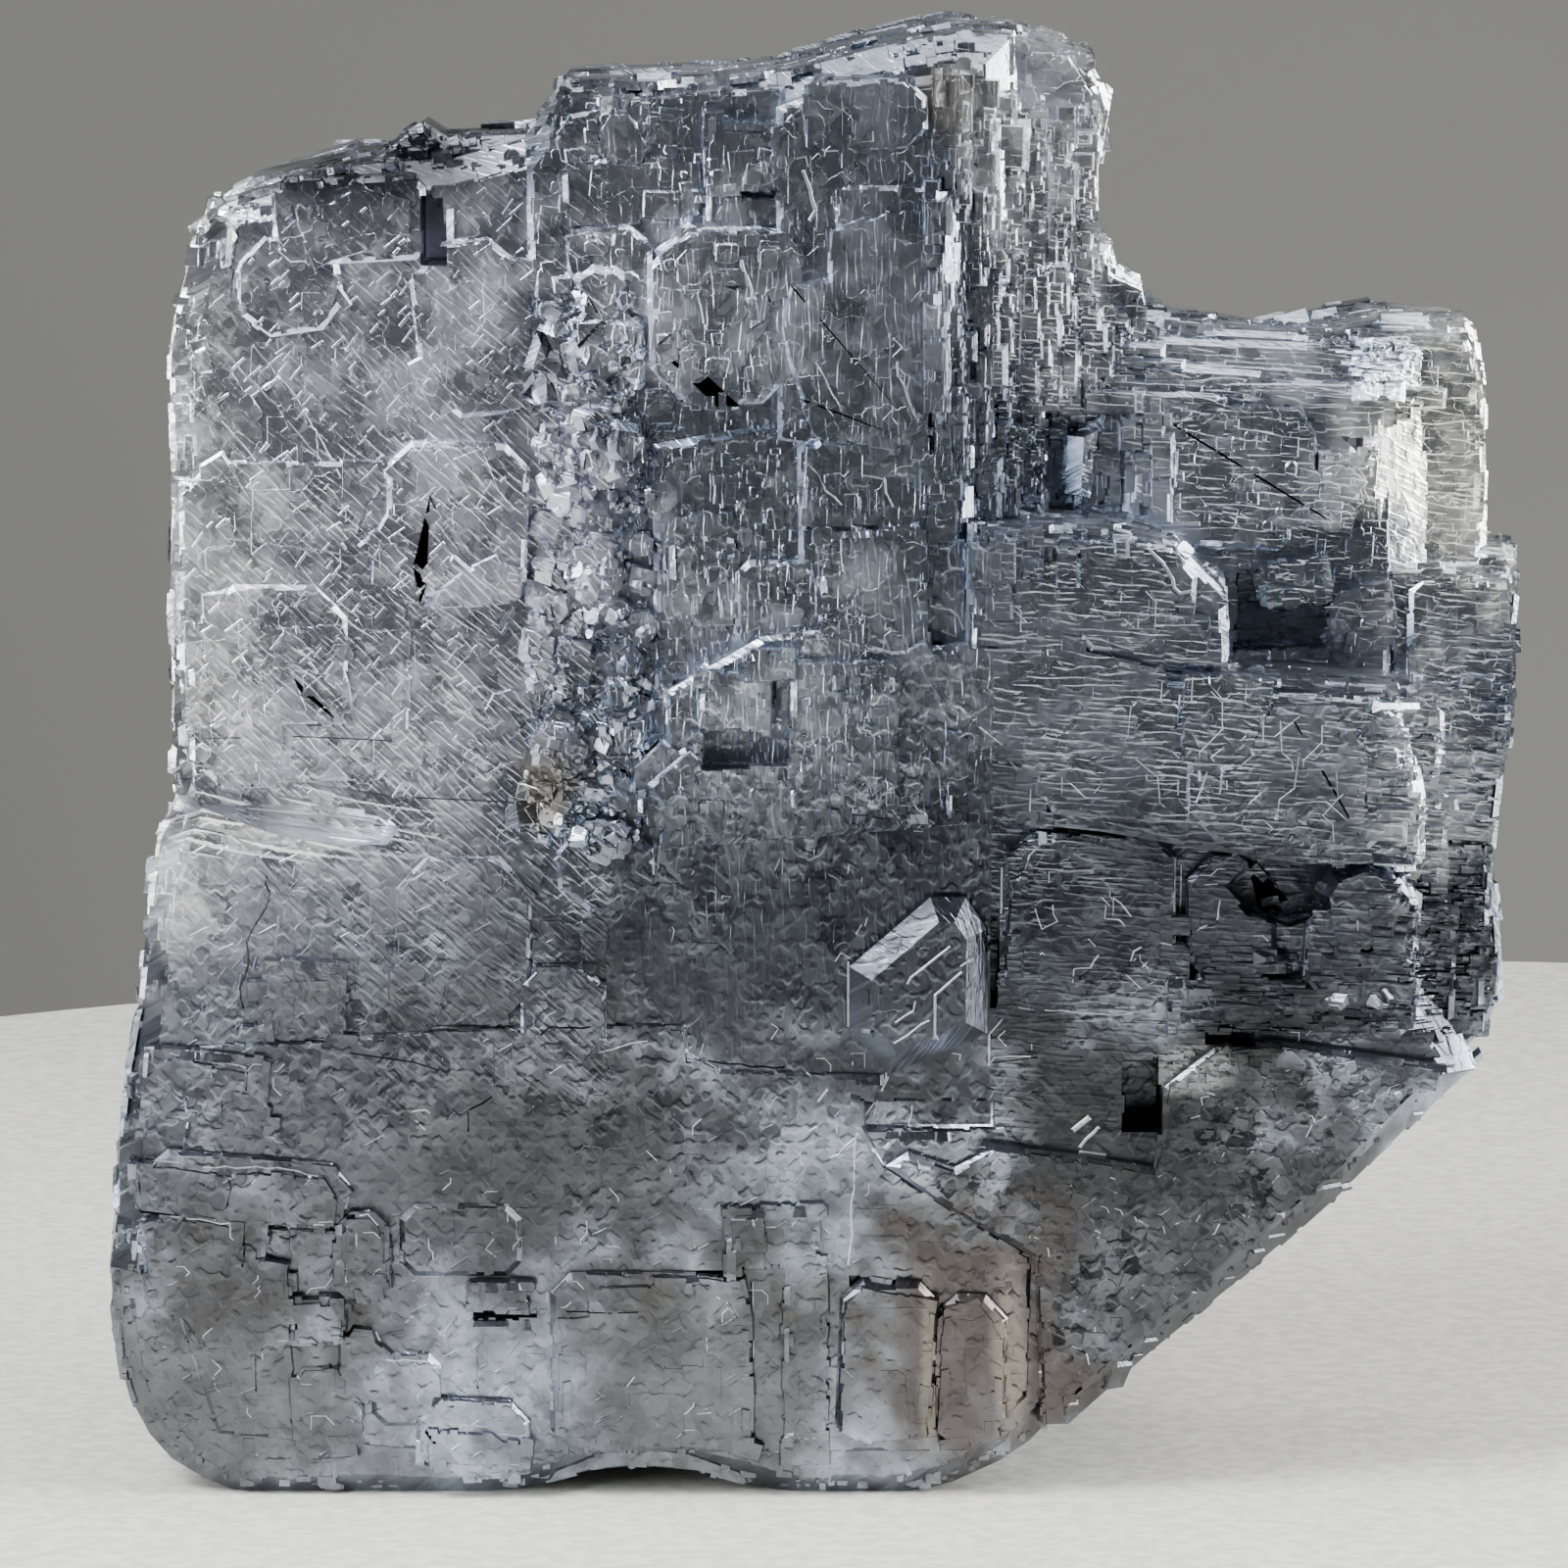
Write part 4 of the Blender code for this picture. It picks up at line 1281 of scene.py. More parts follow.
    def add_lines(self, wiring: Wiring, place: Socket, flat: Socket, height: Socket) -> Socket:
        """Adds the fine parallel lines.

        Args:
            wiring: the material's wiring.
            place: the point on the stone.
            flat: the place on the drawn-out skin.
            height: the height without them.

        Returns:
            The height with them.
        """
        for lines in self.lines:
            turn = self.turn_at(wiring, place, lines.turns)
            keys = {"Vector": flat, "Turn": turn, "Pitch": lines.pitch, "Length": lines.length}
            drawn = wiring.node("Group", keys, node_tree=striations_group()).outputs["Height"]
            mask = self.mask(wiring, place, 0.0, lines.centre, lines.radii)
            depth = wiring.math("MULTIPLY", mask, lines.depth)
            height = wiring.math("ADD", height, wiring.math("MULTIPLY", drawn, depth))
        return height

    def turn_at(self, wiring: Wiring, place: Socket, turns: Triple) -> Socket | float:
        """Gives the lines' turn, which changes from domain to domain.

        Args:
            wiring: the material's wiring.
            place: the point on the stone.
            turns: the turns of the three domains, in degrees.

        Returns:
            The turn in radians.
        """
        left, middle, right = (math.radians(-turn) for turn in turns)
        if left == middle == right:
            return middle
        across = wiring.node("SeparateXYZ", {"Vector": place}).outputs["X"]
        in_left = wiring.math("LESS_THAN", across, self.domains[0] * MM)
        in_right = wiring.math("GREATER_THAN", across, self.domains[1] * MM)
        turn = wiring.math("MULTIPLY_ADD", in_left, left - middle, middle)
        return wiring.math("MULTIPLY_ADD", in_right, right - middle, turn)

    def drawn_out(self, wiring: Wiring, place: Socket) -> Socket:
        """Lays the skin out flat: square on the broad faces, sheared on the others.

        Args:
            wiring: the material's wiring.
            place: the point on the stone.

        Returns:
            The place in two directions.
        """
        parts = wiring.node("SeparateXYZ", {"Vector": place}).outputs
        across = wiring.math("ADD", parts["X"], parts["Y"])
        upwards = wiring.math("MULTIPLY_ADD", parts["Y"], self.shear, parts["Z"])
        return wiring.node("CombineXYZ", {"X": across, "Y": upwards}).outputs[0]

    def mask(
        self, wiring: Wiring, place: Socket, stray: Socket | float, centre: Triple, radii: Triple
    ) -> Socket:
        """Adds a soft patch.

        Args:
            wiring: the material's wiring.
            place: the point on the stone.
            stray: what moves the rim.
            centre: the patch's middle, in mm.
            radii: its half sizes, in mm.

        Returns:
            The patch's mask.
        """
        keys = {
            "Vector": place,
            "Stray": stray,
            "Centre": [value * MM for value in centre],
            "Radii": [value * MM for value in radii],
        }
        return wiring.node("Group", keys, node_tree=patch_group()).outputs["Mask"]


# A much lighter metal for the thin bright ridges: a painted highlight, so they read as glints.
PAINTED_HIGHLIGHT_METAL = GalenaFinish(
    "galena_painted_highlight",
    dark=(0.5, 0.53, 0.6),
    light=(0.9, 0.92, 0.96),
    terraces=(Terraces(430.0, 0.5, 0.05, 0.5),),
    lines=(),
    patches=(),
)


@dataclass(frozen=True)
class PlainFinish:
    """A matt finish with a faint grain, for the table and the backdrop."""

    name: str
    colour: Triple
    grain: float  # how much darker the grain is
    scale: float  # of the grain, for each metre
    roughness: float
    grain_range: Pair = (0.35, 0.65)  # the noise where the grain is full and where it is none

    def material(self) -> bpy.types.Material:
        """Builds the material.

        Returns:
            The material.
        """
        made = bpy.data.materials.new(self.name)
        made.use_nodes = True
        wiring = Wiring(made.node_tree)
        shader = made.node_tree.nodes["Principled BSDF"]
        place = wiring.node("TexCoord").outputs["Object"]
        keys = {"Vector": place, "Scale": self.scale, "Detail": 2.0, "Roughness": 0.7}
        shade = wiring.ramp(wiring.node("TexNoise", keys).outputs["Fac"], *self.grain_range)
        darker = [value * (1.0 - self.grain) for value in self.colour]
        colour = wiring.mix(shade, (*darker, 1.0), (*self.colour, 1.0))
        wiring.feed(shader.inputs["Base Color"], colour)
        shader.inputs["Roughness"].default_value = self.roughness
        return made


# ---- studio --------------------------------------------------------------------------------------

TABLE_TOP = PlainFinish("table_top", (0.74, 0.74, 0.68), 0.22, 700.0, 0.5)
BACKDROP_PAPER = PlainFinish("backdrop_paper", (0.24, 0.24, 0.222), 0.04, 3.0, 0.9)


@dataclass(frozen=True)
class SoftBox:
    """A rectangular soft light, in mm."""

    name: str
    place: Triple
    size: Pair
    watts: float
    colour: Triple
    aim: Triple

    def hang(self) -> None:
        """Adds the light to the scene."""
        light = bpy.data.lights.new(self.name, "AREA")
        light.shape = "RECTANGLE"
        light.size, light.size_y = self.size[0] * MM, self.size[1] * MM
        light.energy = self.watts
        light.color = self.colour
        made = bpy.data.objects.new(self.name, light)
        made.location = Vector(self.place) * MM
        made.rotation_euler = (Vector(self.aim) - Vector(self.place)).to_track_quat("-Z", "Y").to_euler()
        bpy.context.scene.collection.objects.link(made)


STONE_MIDDLE = (-2.13, -14.0, 49.5)  # what the camera and the lights look at, mm
WALL_PLACE = (140.0, 700.0, 40.0)  # where the backdrop is brightest, mm
SOFT_BOXES = (
    SoftBox("left_box", (-270.0, -210.0, 170.0), (180.0, 420.0), 2.8, (0.96, 0.97, 1.0), STONE_MIDDLE),
    SoftBox("right_box", (330.0, -90.0, 190.0), (200.0, 420.0), 4.2, (1.0, 0.99, 0.97), STONE_MIDDLE),
    SoftBox("top_box", (0.0, 40.0, 560.0), (620.0, 300.0), 1.6, (1.0, 1.0, 1.0), STONE_MIDDLE),
    SoftBox("high_left_box", (-250.0, -190.0, 390.0), (220.0, 160.0), 2.8, (1.0, 1.0, 1.0), STONE_MIDDLE),
    SoftBox("backdrop_box", (180.0, 460.0, -120.0), (200.0, 60.0), 0.3, (1.0, 1.0, 0.97), WALL_PLACE),
)


@dataclass
class Studio:
    """The pale round table, the grey backdrop, the soft lights and the camera, in mm."""

    table_radius: float = 200.0
    table_centre: Pair = (37.6, 19.5)
    table_thickness: float = 12.0
    table_segments: int = 180
    backdrop_distance: float = 700.0
    backdrop_half: float = 3000.0
    air: Triple = (0.5, 0.52, 0.56)
    air_strength: float = 0.08
    aim: Triple = STONE_MIDDLE
    camera_distance: float = 600.0
    camera_rise: float = 8.0  # degrees above the level
    view_width: float = 106.67  # mm across the view at the front plane
    sensor: float = 36.0
    clip_start: float = 10.0

    def build(self) -> None:
        """Builds the whole studio."""
        self.add_table()
        self.add_backdrop()
        self.add_lights()
        self.add_camera()

    def add_table(self) -> None:
        """A thin round slab with its top at the object's base."""
        shape = bmesh.new()
        bmesh.ops.create_cone(
            shape,
            cap_ends=True,
            segments=self.table_segments,
            radius1=self.table_radius * MM,
            radius2=self.table_radius * MM,
            depth=self.table_thickness * MM,
        )
        table = self.staged("table", shape, TABLE_TOP)
        across, back = self.table_centre
        table.location = (across * MM, back * MM, -self.table_thickness / 2 * MM)

    def add_backdrop(self) -> None:
        """A plain wall far behind the table."""
        shape = bmesh.new()
        bmesh.ops.create_grid(shape, x_segments=1, y_segments=1, size=self.backdrop_half * MM)
        wall = self.staged("backdrop", shape, BACKDROP_PAPER)
        wall.rotation_euler = (math.radians(90.0), 0.0, 0.0)
        wall.location = (0.0, self.backdrop_distance * MM, 0.0)

    def staged(self, name: str, shape: bmesh.types.BMesh, finish: PlainFinish) -> bpy.types.Object:
        """Links a stage object.

        Args:
            name: its name.
            shape: its mesh, which is freed.
            finish: its finish.

        Returns:
            The object.
        """
        mesh = bpy.data.meshes.new(name)
        shape.to_mesh(mesh)
        shape.free()
        mesh.materials.append(finish.material())
        made = bpy.data.objects.new(name, mesh)
        bpy.context.scene.collection.objects.link(made)
        return made

    def add_lights(self) -> None:
        """Soft boxes left, right and above, and a dim even surround."""
        for box in SOFT_BOXES:
            box.hang()
        world = bpy.data.worlds.new("studio_air")
        world.use_nodes = True
        background = world.node_tree.nodes["Background"]
        background.inputs["Color"].default_value = (*self.air, 1.0)
        background.inputs["Strength"].default_value = self.air_strength
        bpy.context.scene.world = world

    def add_camera(self) -> None:
        """The camera, level with the upper half of the stone and looking slightly down."""
        data = bpy.data.cameras.new("camera")
        data.sensor_width = self.sensor
        data.lens = self.sensor * self.camera_distance / self.view_width
        data.clip_start = self.clip_start * MM
        camera = bpy.data.objects.new("camera", data)
        rise = math.radians(self.camera_rise)
        back = Vector((0.0, -math.cos(rise), math.sin(rise))) * self.camera_distance
        camera.location = (Vector(self.aim) + back) * MM
        camera.rotation_euler = (-back).to_track_quat("-Z", "Y").to_euler()
        bpy.context.scene.collection.objects.link(camera)
        bpy.context.scene.camera = camera


# ---- places on the front -------------------------------------------------------------------------

WHOLE = [(-49.0, 0.5), (-49.0, 101.0), (49.0, 101.0), (49.0, 0.5)]
LEFT_FIELD = [
    (-43.5, 48.5), (-43.5, 82.0), (-38.0, 89.0), (-20.0, 91.5), (-15.5, 77.0), (-18.0, 62.0),
    (-22.0, 48.5),
]
LEFT_SLAB = [(-47.0, 30.0), (-44.0, 46.0), (-19.0, 46.0), (-19.0, 30.0)]
LOWER_LEFT = [(-48.0, 12.0), (-46.5, 31.0), (-19.0, 31.0), (-19.0, 2.0), (-42.0, 2.0)]
LOWER_MIDDLE = [(-20.0, 2.0), (-20.0, 31.0), (4.0, 31.0), (4.0, 2.0)]
RIGHT_FOOT = [(3.0, 1.0), (3.0, 24.0), (15.0, 24.0), (17.0, 6.0), (12.0, 1.0)]
TOP_LEFT_EDGE = ruled(
    (180, 230), (240, 150), (330, 130), (550, 50), (560, 120), (420, 175), (300, 190), (230, 250),
)
DARK_FLOOR = [(-11.0, 30.0), (-11.0, 46.0), (13.0, 46.0), (13.0, 30.0)]
WAIST = [(-20.0, 30.0), (-20.0, 50.0), (-10.0, 50.0), (-10.0, 30.0)]
BAND = [(-20.0, 45.0), (-19.0, 62.0), (-18.0, 84.0), (-12.0, 84.0), (-11.0, 60.0), (-12.0, 45.0)]
GROUND = [(-12.0, 45.5), (-11.0, 74.0), (0.0, 75.0), (4.5, 59.0), (8.0, 46.5)]
UPPER_MIDDLE = [(-20.0, 78.0), (-19.5, 92.0), (-16.5, 96.5), (-2.0, 97.0), (-2.0, 73.0), (-11.0, 71.0)]
TOWER_FACE = [(-3.0, 59.0), (-2.5, 98.0), (10.0, 100.0), (10.0, 59.0)]
TOWER_STEPS = [(7.6, 66.0), (7.8, 92.0), (13.0, 96.0), (13.0, 66.0)]
TOWER_STAIRS = [(12.0, 68.0), (12.0, 96.0), (21.0, 94.0), (19.0, 82.0), (24.0, 78.0), (24.0, 68.0)]
STAIR_FOOT = [(11.0, 62.0), (11.0, 74.0), (22.0, 74.0), (22.0, 66.5)]
BENCH_LOWER = [(5.0, 45.5), (5.0, 59.5), (28.0, 57.5), (40.0, 56.5), (42.0, 44.5), (20.0, 46.5)]
BENCH_UPPER = [(10.0, 57.0), (10.0, 68.0), (20.0, 67.5), (28.0, 63.0), (28.0, 57.0)]
BENCH_END = [(38.0, 32.0), (38.0, 56.0), (48.0, 56.0), (48.0, 32.0)]
RIGHT_BLOCKS = [(12.0, 31.0), (12.0, 47.0), (41.0, 45.0), (42.0, 31.0)]
RIGHT_CHIPS = [(26.0, 32.0), (26.0, 38.0), (41.0, 38.0), (42.0, 33.0)]
RECESS_LEDGES = [(20.0, 75.0), (20.0, 80.5), (40.0, 80.0), (40.0, 75.0)]
RECESS = [(11.0, 66.0), (18.0, 76.0), (38.0, 76.0), (38.0, 57.0), (28.0, 57.0), (28.0, 66.0)]
END_BLOCK = [(36.0, 62.0), (36.0, 80.5), (47.0, 80.5), (47.0, 62.0)]
END_SLAB = [(38.0, 44.0), (38.0, 64.5), (49.0, 64.5), (48.5, 44.0)]
ROUGH_PLACE = ruled(
    (1186, 1080), (1250, 1068), (1296, 1060), (1286, 1082), (1240, 1112), (1200, 1130), (1186, 1120),
)
WEDGE = [(5.0, 23.0), (24.0, 24.0), (24.0, 30.0), (45.0, 31.0), (16.0, 4.5), (14.0, 18.0)]

BARE_PLACES = [
    ruled((1060, 1500), (1510, 1086), (1570, 1120), (1110, 1540)),
    ruled((172, 822), (230, 812), (330, 822), (418, 848), (418, 878), (330, 876), (200, 858)),
    ruled((858, 1000), (930, 915), (985, 908), (1020, 925), (1020, 1040), (930, 1105), (858, 1050)),
    ruled((1140, 1080), (1192, 1080), (1192, 1180), (1140, 1180)),
    ruled((425, 205), (458, 205), (458, 290), (425, 290)),
]


# ---- broad plates --------------------------------------------------------------------------------


def upper_left_sheets() -> list[Sheet]:
    """The broad plates of the upper left.

    Returns:
        The plates.
    """
    return [
        Sheet(ruled(
            (300, 207), (336, 204), (371, 182), (424, 200), (422, 214), (420, 257), (411, 261),
            (396, 259), (375, 255), (343, 264), (318, 262), (304, 232),
        ), 0.35),
        Sheet(ruled(
            (246, 271), (275, 239), (311, 250), (352, 280), (345, 304), (339, 323), (327, 334),
            (304, 332), (279, 321), (246, 304),
        ), 0.22),
        Sheet(ruled(
            (200, 350), (229, 357), (271, 421), (282, 500), (275, 504), (221, 421),
        ), 0.16, UP_RIGHT),
        Sheet(ruled(
            (271, 375), (293, 386), (318, 429), (345, 520), (330, 520), (286, 404),
        ), 0.14, UP_RIGHT),
        Sheet(ruled(
            (330, 300), (352, 305), (400, 372), (442, 455), (425, 452), (366, 372),
        ), 0.12, UP_RIGHT),
        Sheet(ruled(
            (379, 593), (380, 568), (366, 554), (386, 539), (396, 521), (440, 500), (470, 560),
            (430, 615),
        ), 0.18),
        Sheet(ruled((207, 604), (232, 600), (257, 614), (261, 679), (239, 686), (211, 689)), 0.13),
        Sheet(ruled(
            (261, 636), (350, 632), (357, 654), (362, 671), (352, 675), (357, 718), (346, 736),
            (300, 737), (268, 729), (264, 679),
        ), 0.2),
        Sheet(ruled((215, 760), (300, 755), (296, 790), (280, 800), (218, 802)), 0.14),
        Sheet(ruled(
            (432, 618), (529, 611), (534, 571), (504, 560), (470, 575), (443, 596),
        ), 0.5, UP_LEFT, 2.0, 0.08),
        Sheet(ruled(
            (500, 704), (521, 698), (539, 700), (546, 729), (521, 750), (500, 746), (489, 725),
        ), 0.3),
        Sheet(ruled(
            (543, 732), (575, 729), (636, 714), (660, 714), (660, 782), (582, 786), (543, 761),
        ), 0.25),
        Sheet(ruled(
            (582, 789), (659, 786), (657, 843), (640, 862), (611, 864), (571, 856), (568, 811),
        ), 0.25),
        Sheet(ruled(
            (543, 961), (561, 950), (607, 936), (618, 940), (618, 1000), (586, 1036), (534, 1029),
        ), 0.14),
        Sheet(ruled((262, 1003), (345, 1000), (349, 1061), (268, 1058)), 0.1, UP_LEFT, 2.4, 0.05),
    ]


def upper_middle_sheets() -> list[Sheet]:
    """The broad plates between the upper left and the tower.

    Returns:
        The plates.
    """
    return [
        Sheet(ruled(
            (671, 257), (704, 232), (779, 232), (796, 229), (816, 250), (818, 279), (786, 293),
            (782, 321), (757, 371), (754, 411), (700, 411), (675, 375), (664, 350), (670, 304),
        ), 0.28),
        Sheet(ruled(
            (586, 239), (618, 232), (646, 234), (668, 250), (664, 321), (636, 311), (589, 271),
        ), 0.22),
        Sheet(ruled(
            (582, 318), (618, 304), (657, 321), (661, 350), (618, 368), (596, 379), (584, 354),
        ), 0.26),
        Sheet(ruled((596, 439), (618, 421), (654, 421), (657, 475), (629, 479), (604, 471)), 0.26),
        Sheet(ruled(
            (550, 172), (577, 97), (654, 98), (721, 96), (744, 94), (744, 125), (721, 168),
        ), 0.2),
        Sheet(ruled((607, 136), (621, 111), (636, 111), (661, 154), (657, 168), (614, 166)), 0.34),
        Sheet(ruled((725, 129), (782, 132), (791, 168), (791, 193), (729, 195), (721, 168)), 0.24),
        Sheet(ruled((736, 200), (764, 195), (804, 200), (811, 221), (750, 229), (725, 221)), 0.26),
    ]


def tower_sheets() -> list[Sheet]:
    """The broad plates of the tower's flat face.

    Returns:
        The plates.
    """
    return [
        Sheet(ruled(
            (786, 136), (814, 114), (843, 121), (857, 132), (871, 118), (911, 121), (943, 136),
            (986, 143), (986, 200), (957, 204), (907, 207), (882, 214), (843, 229), (811, 232),
            (793, 200), (786, 168),
        ), 0.16),
        Sheet(ruled(
            (804, 282), (843, 279), (846, 229), (893, 214), (904, 207), (956, 211), (958, 250),
            (958, 357), (950, 371), (946, 454), (832, 443), (814, 404), (800, 357), (796, 321),
        ), 0.3),
    ]


def bench_sheets() -> list[Sheet]:
    """The broad plates at the tower's stairs and on the bench.

    Returns:
        The plates.
    """
    return [
        Sheet(ruled(
            (1046, 60), (1092, 62), (1110, 90), (1108, 150), (1060, 160), (1046, 130),
        ), 0.3, RIGHTWARDS),
        Sheet(ruled(
            (1079, 539), (1154, 546), (1175, 568), (1195, 593), (1200, 614), (1232, 621), (1232, 661),
            (1179, 657), (1125, 643), (1073, 632), (1071, 589),
        ), 0.24, lit=UP_RIGHT),
        Sheet(ruled(
            (1000, 534), (1060, 532), (1068, 560), (1066, 634), (1000, 632),
        ), 0.16, lit=UP_RIGHT),
        Sheet(ruled(
            (930, 660), (1000, 650), (1080, 652), (1180, 672), (1195, 700), (1190, 760), (1000, 770),
        ), 0.13, lit=UP_RIGHT),
        Sheet(ruled(
            (1205, 680), (1300, 684), (1290, 716), (1268, 768), (1229, 779), (1204, 770),
        ), 0.16, lit=UP_RIGHT),
        Sheet(ruled(
            (1289, 718), (1307, 707), (1357, 707), (1375, 721), (1389, 743), (1396, 764), (1393, 807),
            (1393, 857), (1330, 850), (1311, 822), (1218, 822), (1229, 786), (1268, 768),
        ), 0.22, lit=UP_RIGHT),
    ]


def recess_sheets() -> list[Sheet]:
    """The broad plates in the recess and on the block and slab at its end.

    Returns:
        The plates.
    """
    return [
        Sheet(ruled(
            (1149, 402), (1214, 406), (1279, 417), (1329, 417), (1344, 452), (1348, 482), (1390, 524),
            (1380, 550), (1245, 532), (1153, 509),
        ), 0.3, lit=UP_RIGHT),
        Sheet(ruled(
            (1350, 480), (1367, 472), (1394, 494), (1398, 520), (1352, 516),
        ), 0.3, lit=UP_RIGHT),
        Sheet(ruled((1432, 352), (1500, 352), (1512, 400), (1512, 470), (1440, 470)), 0.16, RIGHTWARDS),
        Sheet(ruled((1452, 600), (1545, 596), (1550, 700), (1540, 800), (1452, 800)), 0.2, RIGHTWARDS),
    ]


def block_sheets() -> list[Sheet]:
    """The broad plates of the blocks under the bench.

    Returns:
        The plates.
    """
    return [
        Sheet(ruled(
            (1046, 862), (1060, 846), (1150, 850), (1180, 866), (1184, 929), (1182, 984), (1140, 996),
            (1046, 990), (1038, 955), (1038, 893),
        ), 0.16),
        Sheet(ruled(
            (1221, 896), (1243, 873), (1275, 879), (1307, 911), (1314, 929), (1221, 954),
        ), 0.5, slope=1.0),
        Sheet(ruled(
            (1345, 911), (1358, 890), (1393, 876), (1421, 888), (1426, 929), (1418, 958), (1357, 978),
        ), 0.5),
    ]


def slanting_sheets() -> list[Sheet]:
    """The crystal with the bright slanting edge, and its neighbour.

    Returns:
        The plates.
    """
    return [
        Sheet(ruled(
            (652, 790), (697, 752), (711, 771), (712, 807), (668, 821), (655, 804),
        ), 0.7, UP_LEFT, 9.0, 0.0),
        Sheet(ruled(
            (911, 732), (925, 732), (954, 775), (936, 789), (932, 821), (904, 789), (907, 750),
        ), 0.2),
    ]


def lower_left_sheets() -> list[Sheet]:
    """The broad plates of the lower left.

    Returns:
        The plates.
    """
    return [
        Sheet(ruled(
            (134, 1108), (150, 1092), (167, 1078), (203, 1083), (249, 1092), (248, 1115), (239, 1126),
            (134, 1120),
        ), 0.3),
        Sheet(ruled(
            (134, 1190), (178, 1192), (217, 1197), (260, 1197), (289, 1199), (324, 1204), (342, 1235),
            (339, 1258), (289, 1254), (246, 1256), (178, 1247), (134, 1240),
        ), 0.3),
        Sheet(ruled(
            (142, 1254), (171, 1245), (246, 1256), (244, 1286), (292, 1295), (292, 1376), (281, 1385),
            (203, 1383), (178, 1351), (146, 1340),
        ), 0.2),
        Sheet(ruled(
            (294, 1335), (346, 1333), (346, 1369), (339, 1376), (294, 1376),
        ), 0.34, UP_LEFT, 2.0, 0.06),
        Sheet(ruled(
            (289, 1258), (297, 1254), (331, 1256), (339, 1283), (324, 1304), (289, 1290),
        ), 0.26),
        Sheet(ruled(
            (346, 1251), (351, 1244), (372, 1244), (385, 1258), (390, 1333), (356, 1336), (346, 1290),
        ), 0.24),
        Sheet(ruled(
            (376, 1363), (381, 1383), (403, 1401), (431, 1399), (446, 1415), (448, 1456), (410, 1456),
            (374, 1440), (346, 1433), (346, 1379), (356, 1361),
        ), 0.16),
        Sheet(ruled(
            (428, 1463), (492, 1465), (503, 1474), (535, 1478), (542, 1486), (540, 1512), (428, 1501),
        ), 0.36),
    ]


def foot_sheets() -> list[Sheet]:
    """The broad plates of the right foot.

    Returns:
        The plates.
    """
    return [
        Sheet(ruled(
            (650, 1333), (670, 1310), (714, 1311), (757, 1317), (764, 1347), (766, 1500), (729, 1490),
            (607, 1478), (568, 1469), (568, 1351), (607, 1347),
        ), 0.2, UP_LEFT, 3.0, 0.05),
        Sheet(ruled((746, 1246), (779, 1244), (780, 1272), (746, 1276)), 0.16),
        Sheet(ruled(
            (859, 1333), (882, 1315), (921, 1322), (957, 1329), (950, 1433), (946, 1472), (882, 1479),
            (854, 1465),
        ), 0.3, UP_LEFT, 4.0, 0.04),
        Sheet(ruled(
            (961, 1340), (996, 1329), (1025, 1376), (1025, 1461), (1014, 1479), (975, 1486),
            (954, 1470),
        ), 0.2, UP_LEFT, 3.0, 0.06),
    ]


def sheets() -> list[Part]:
    """The broad plates that are seen one by one.

    Returns:
        The plates.
    """
    return [
        *upper_left_sheets(),
        *upper_middle_sheets(),
        *tower_sheets(),
        *bench_sheets(),
        *recess_sheets(),
        *block_sheets(),
        *slanting_sheets(),
        *lower_left_sheets(),
        *foot_sheets(),
    ]


# ---- bright ridges -------------------------------------------------------------------------------

LEVEL_RIDGES = {"first": (0.0, -4.0, 90.0, -45.0), "length": (0.4, 2.2), "width": (0.07, 0.13)}
FINE_RIDGES = {"length": (0.2, 1.0), "width": (0.07, 0.13)}
DABS = {"runs": (1, 1), "length": (0.4, 1.4), "width": (0.14, 0.28)}


def sharp_ridge(*places: Pair) -> Trace:
    """A straight ridge through places in the front's grid."""
    return Trace(ruled(*places), 0.22, stray=0.0, piece=9.0)


def torn_ridge(*places: Pair) -> Trace:
    """A ragged ridge through places in the front's grid."""
    return Trace(ruled(*places), 0.15, stray=0.05, piece=0.8)


def thin_crack(*places: Pair) -> Trace:
    """A straight crack through places in the front's grid."""
    return Trace(ruled(*places), 0.1, 0.5, stray=0.03, piece=5.0)


def torn_crack(*places: Pair) -> Trace:
    """A ragged crack through places in the front's grid."""
    return Trace(ruled(*places), 0.13, 0.5, stray=0.08, piece=0.8)


def wandering_ridges() -> list[Wanderings]:
    """Many small ridges that wander over the flat places.

    Returns:
        The ridges.
    """
    return [
        Wanderings(Side.FRONT, BENCH_LOWER, 60, **LEVEL_RIDGES),
        Wanderings(Side.FRONT, BENCH_UPPER, 30, **LEVEL_RIDGES),
        Wanderings(Side.FRONT, RIGHT_BLOCKS, 40, (1, 3), **FINE_RIDGES),
        Wanderings(Side.FRONT, END_BLOCK, 40, **FINE_RIDGES),
        Wanderings(Side.FRONT, TOWER_FACE, 60, (1, 3), **FINE_RIDGES),
        Wanderings(Side.FRONT, WEDGE, 240, (1, 2), first=(20.0, -20.0, 60.0, 100.0), **FINE_RIDGES),
        Wanderings(Side.FRONT, DARK_FLOOR, 24, (1, 2), first=(80.0, 60.0), **FINE_RIDGES),
        Wanderings(Side.FRONT, LOWER_LEFT, 70, (1, 3), **FINE_RIDGES),
        Wanderings(Side.FRONT, LOWER_MIDDLE, 60, (1, 3), **FINE_RIDGES),
    ]


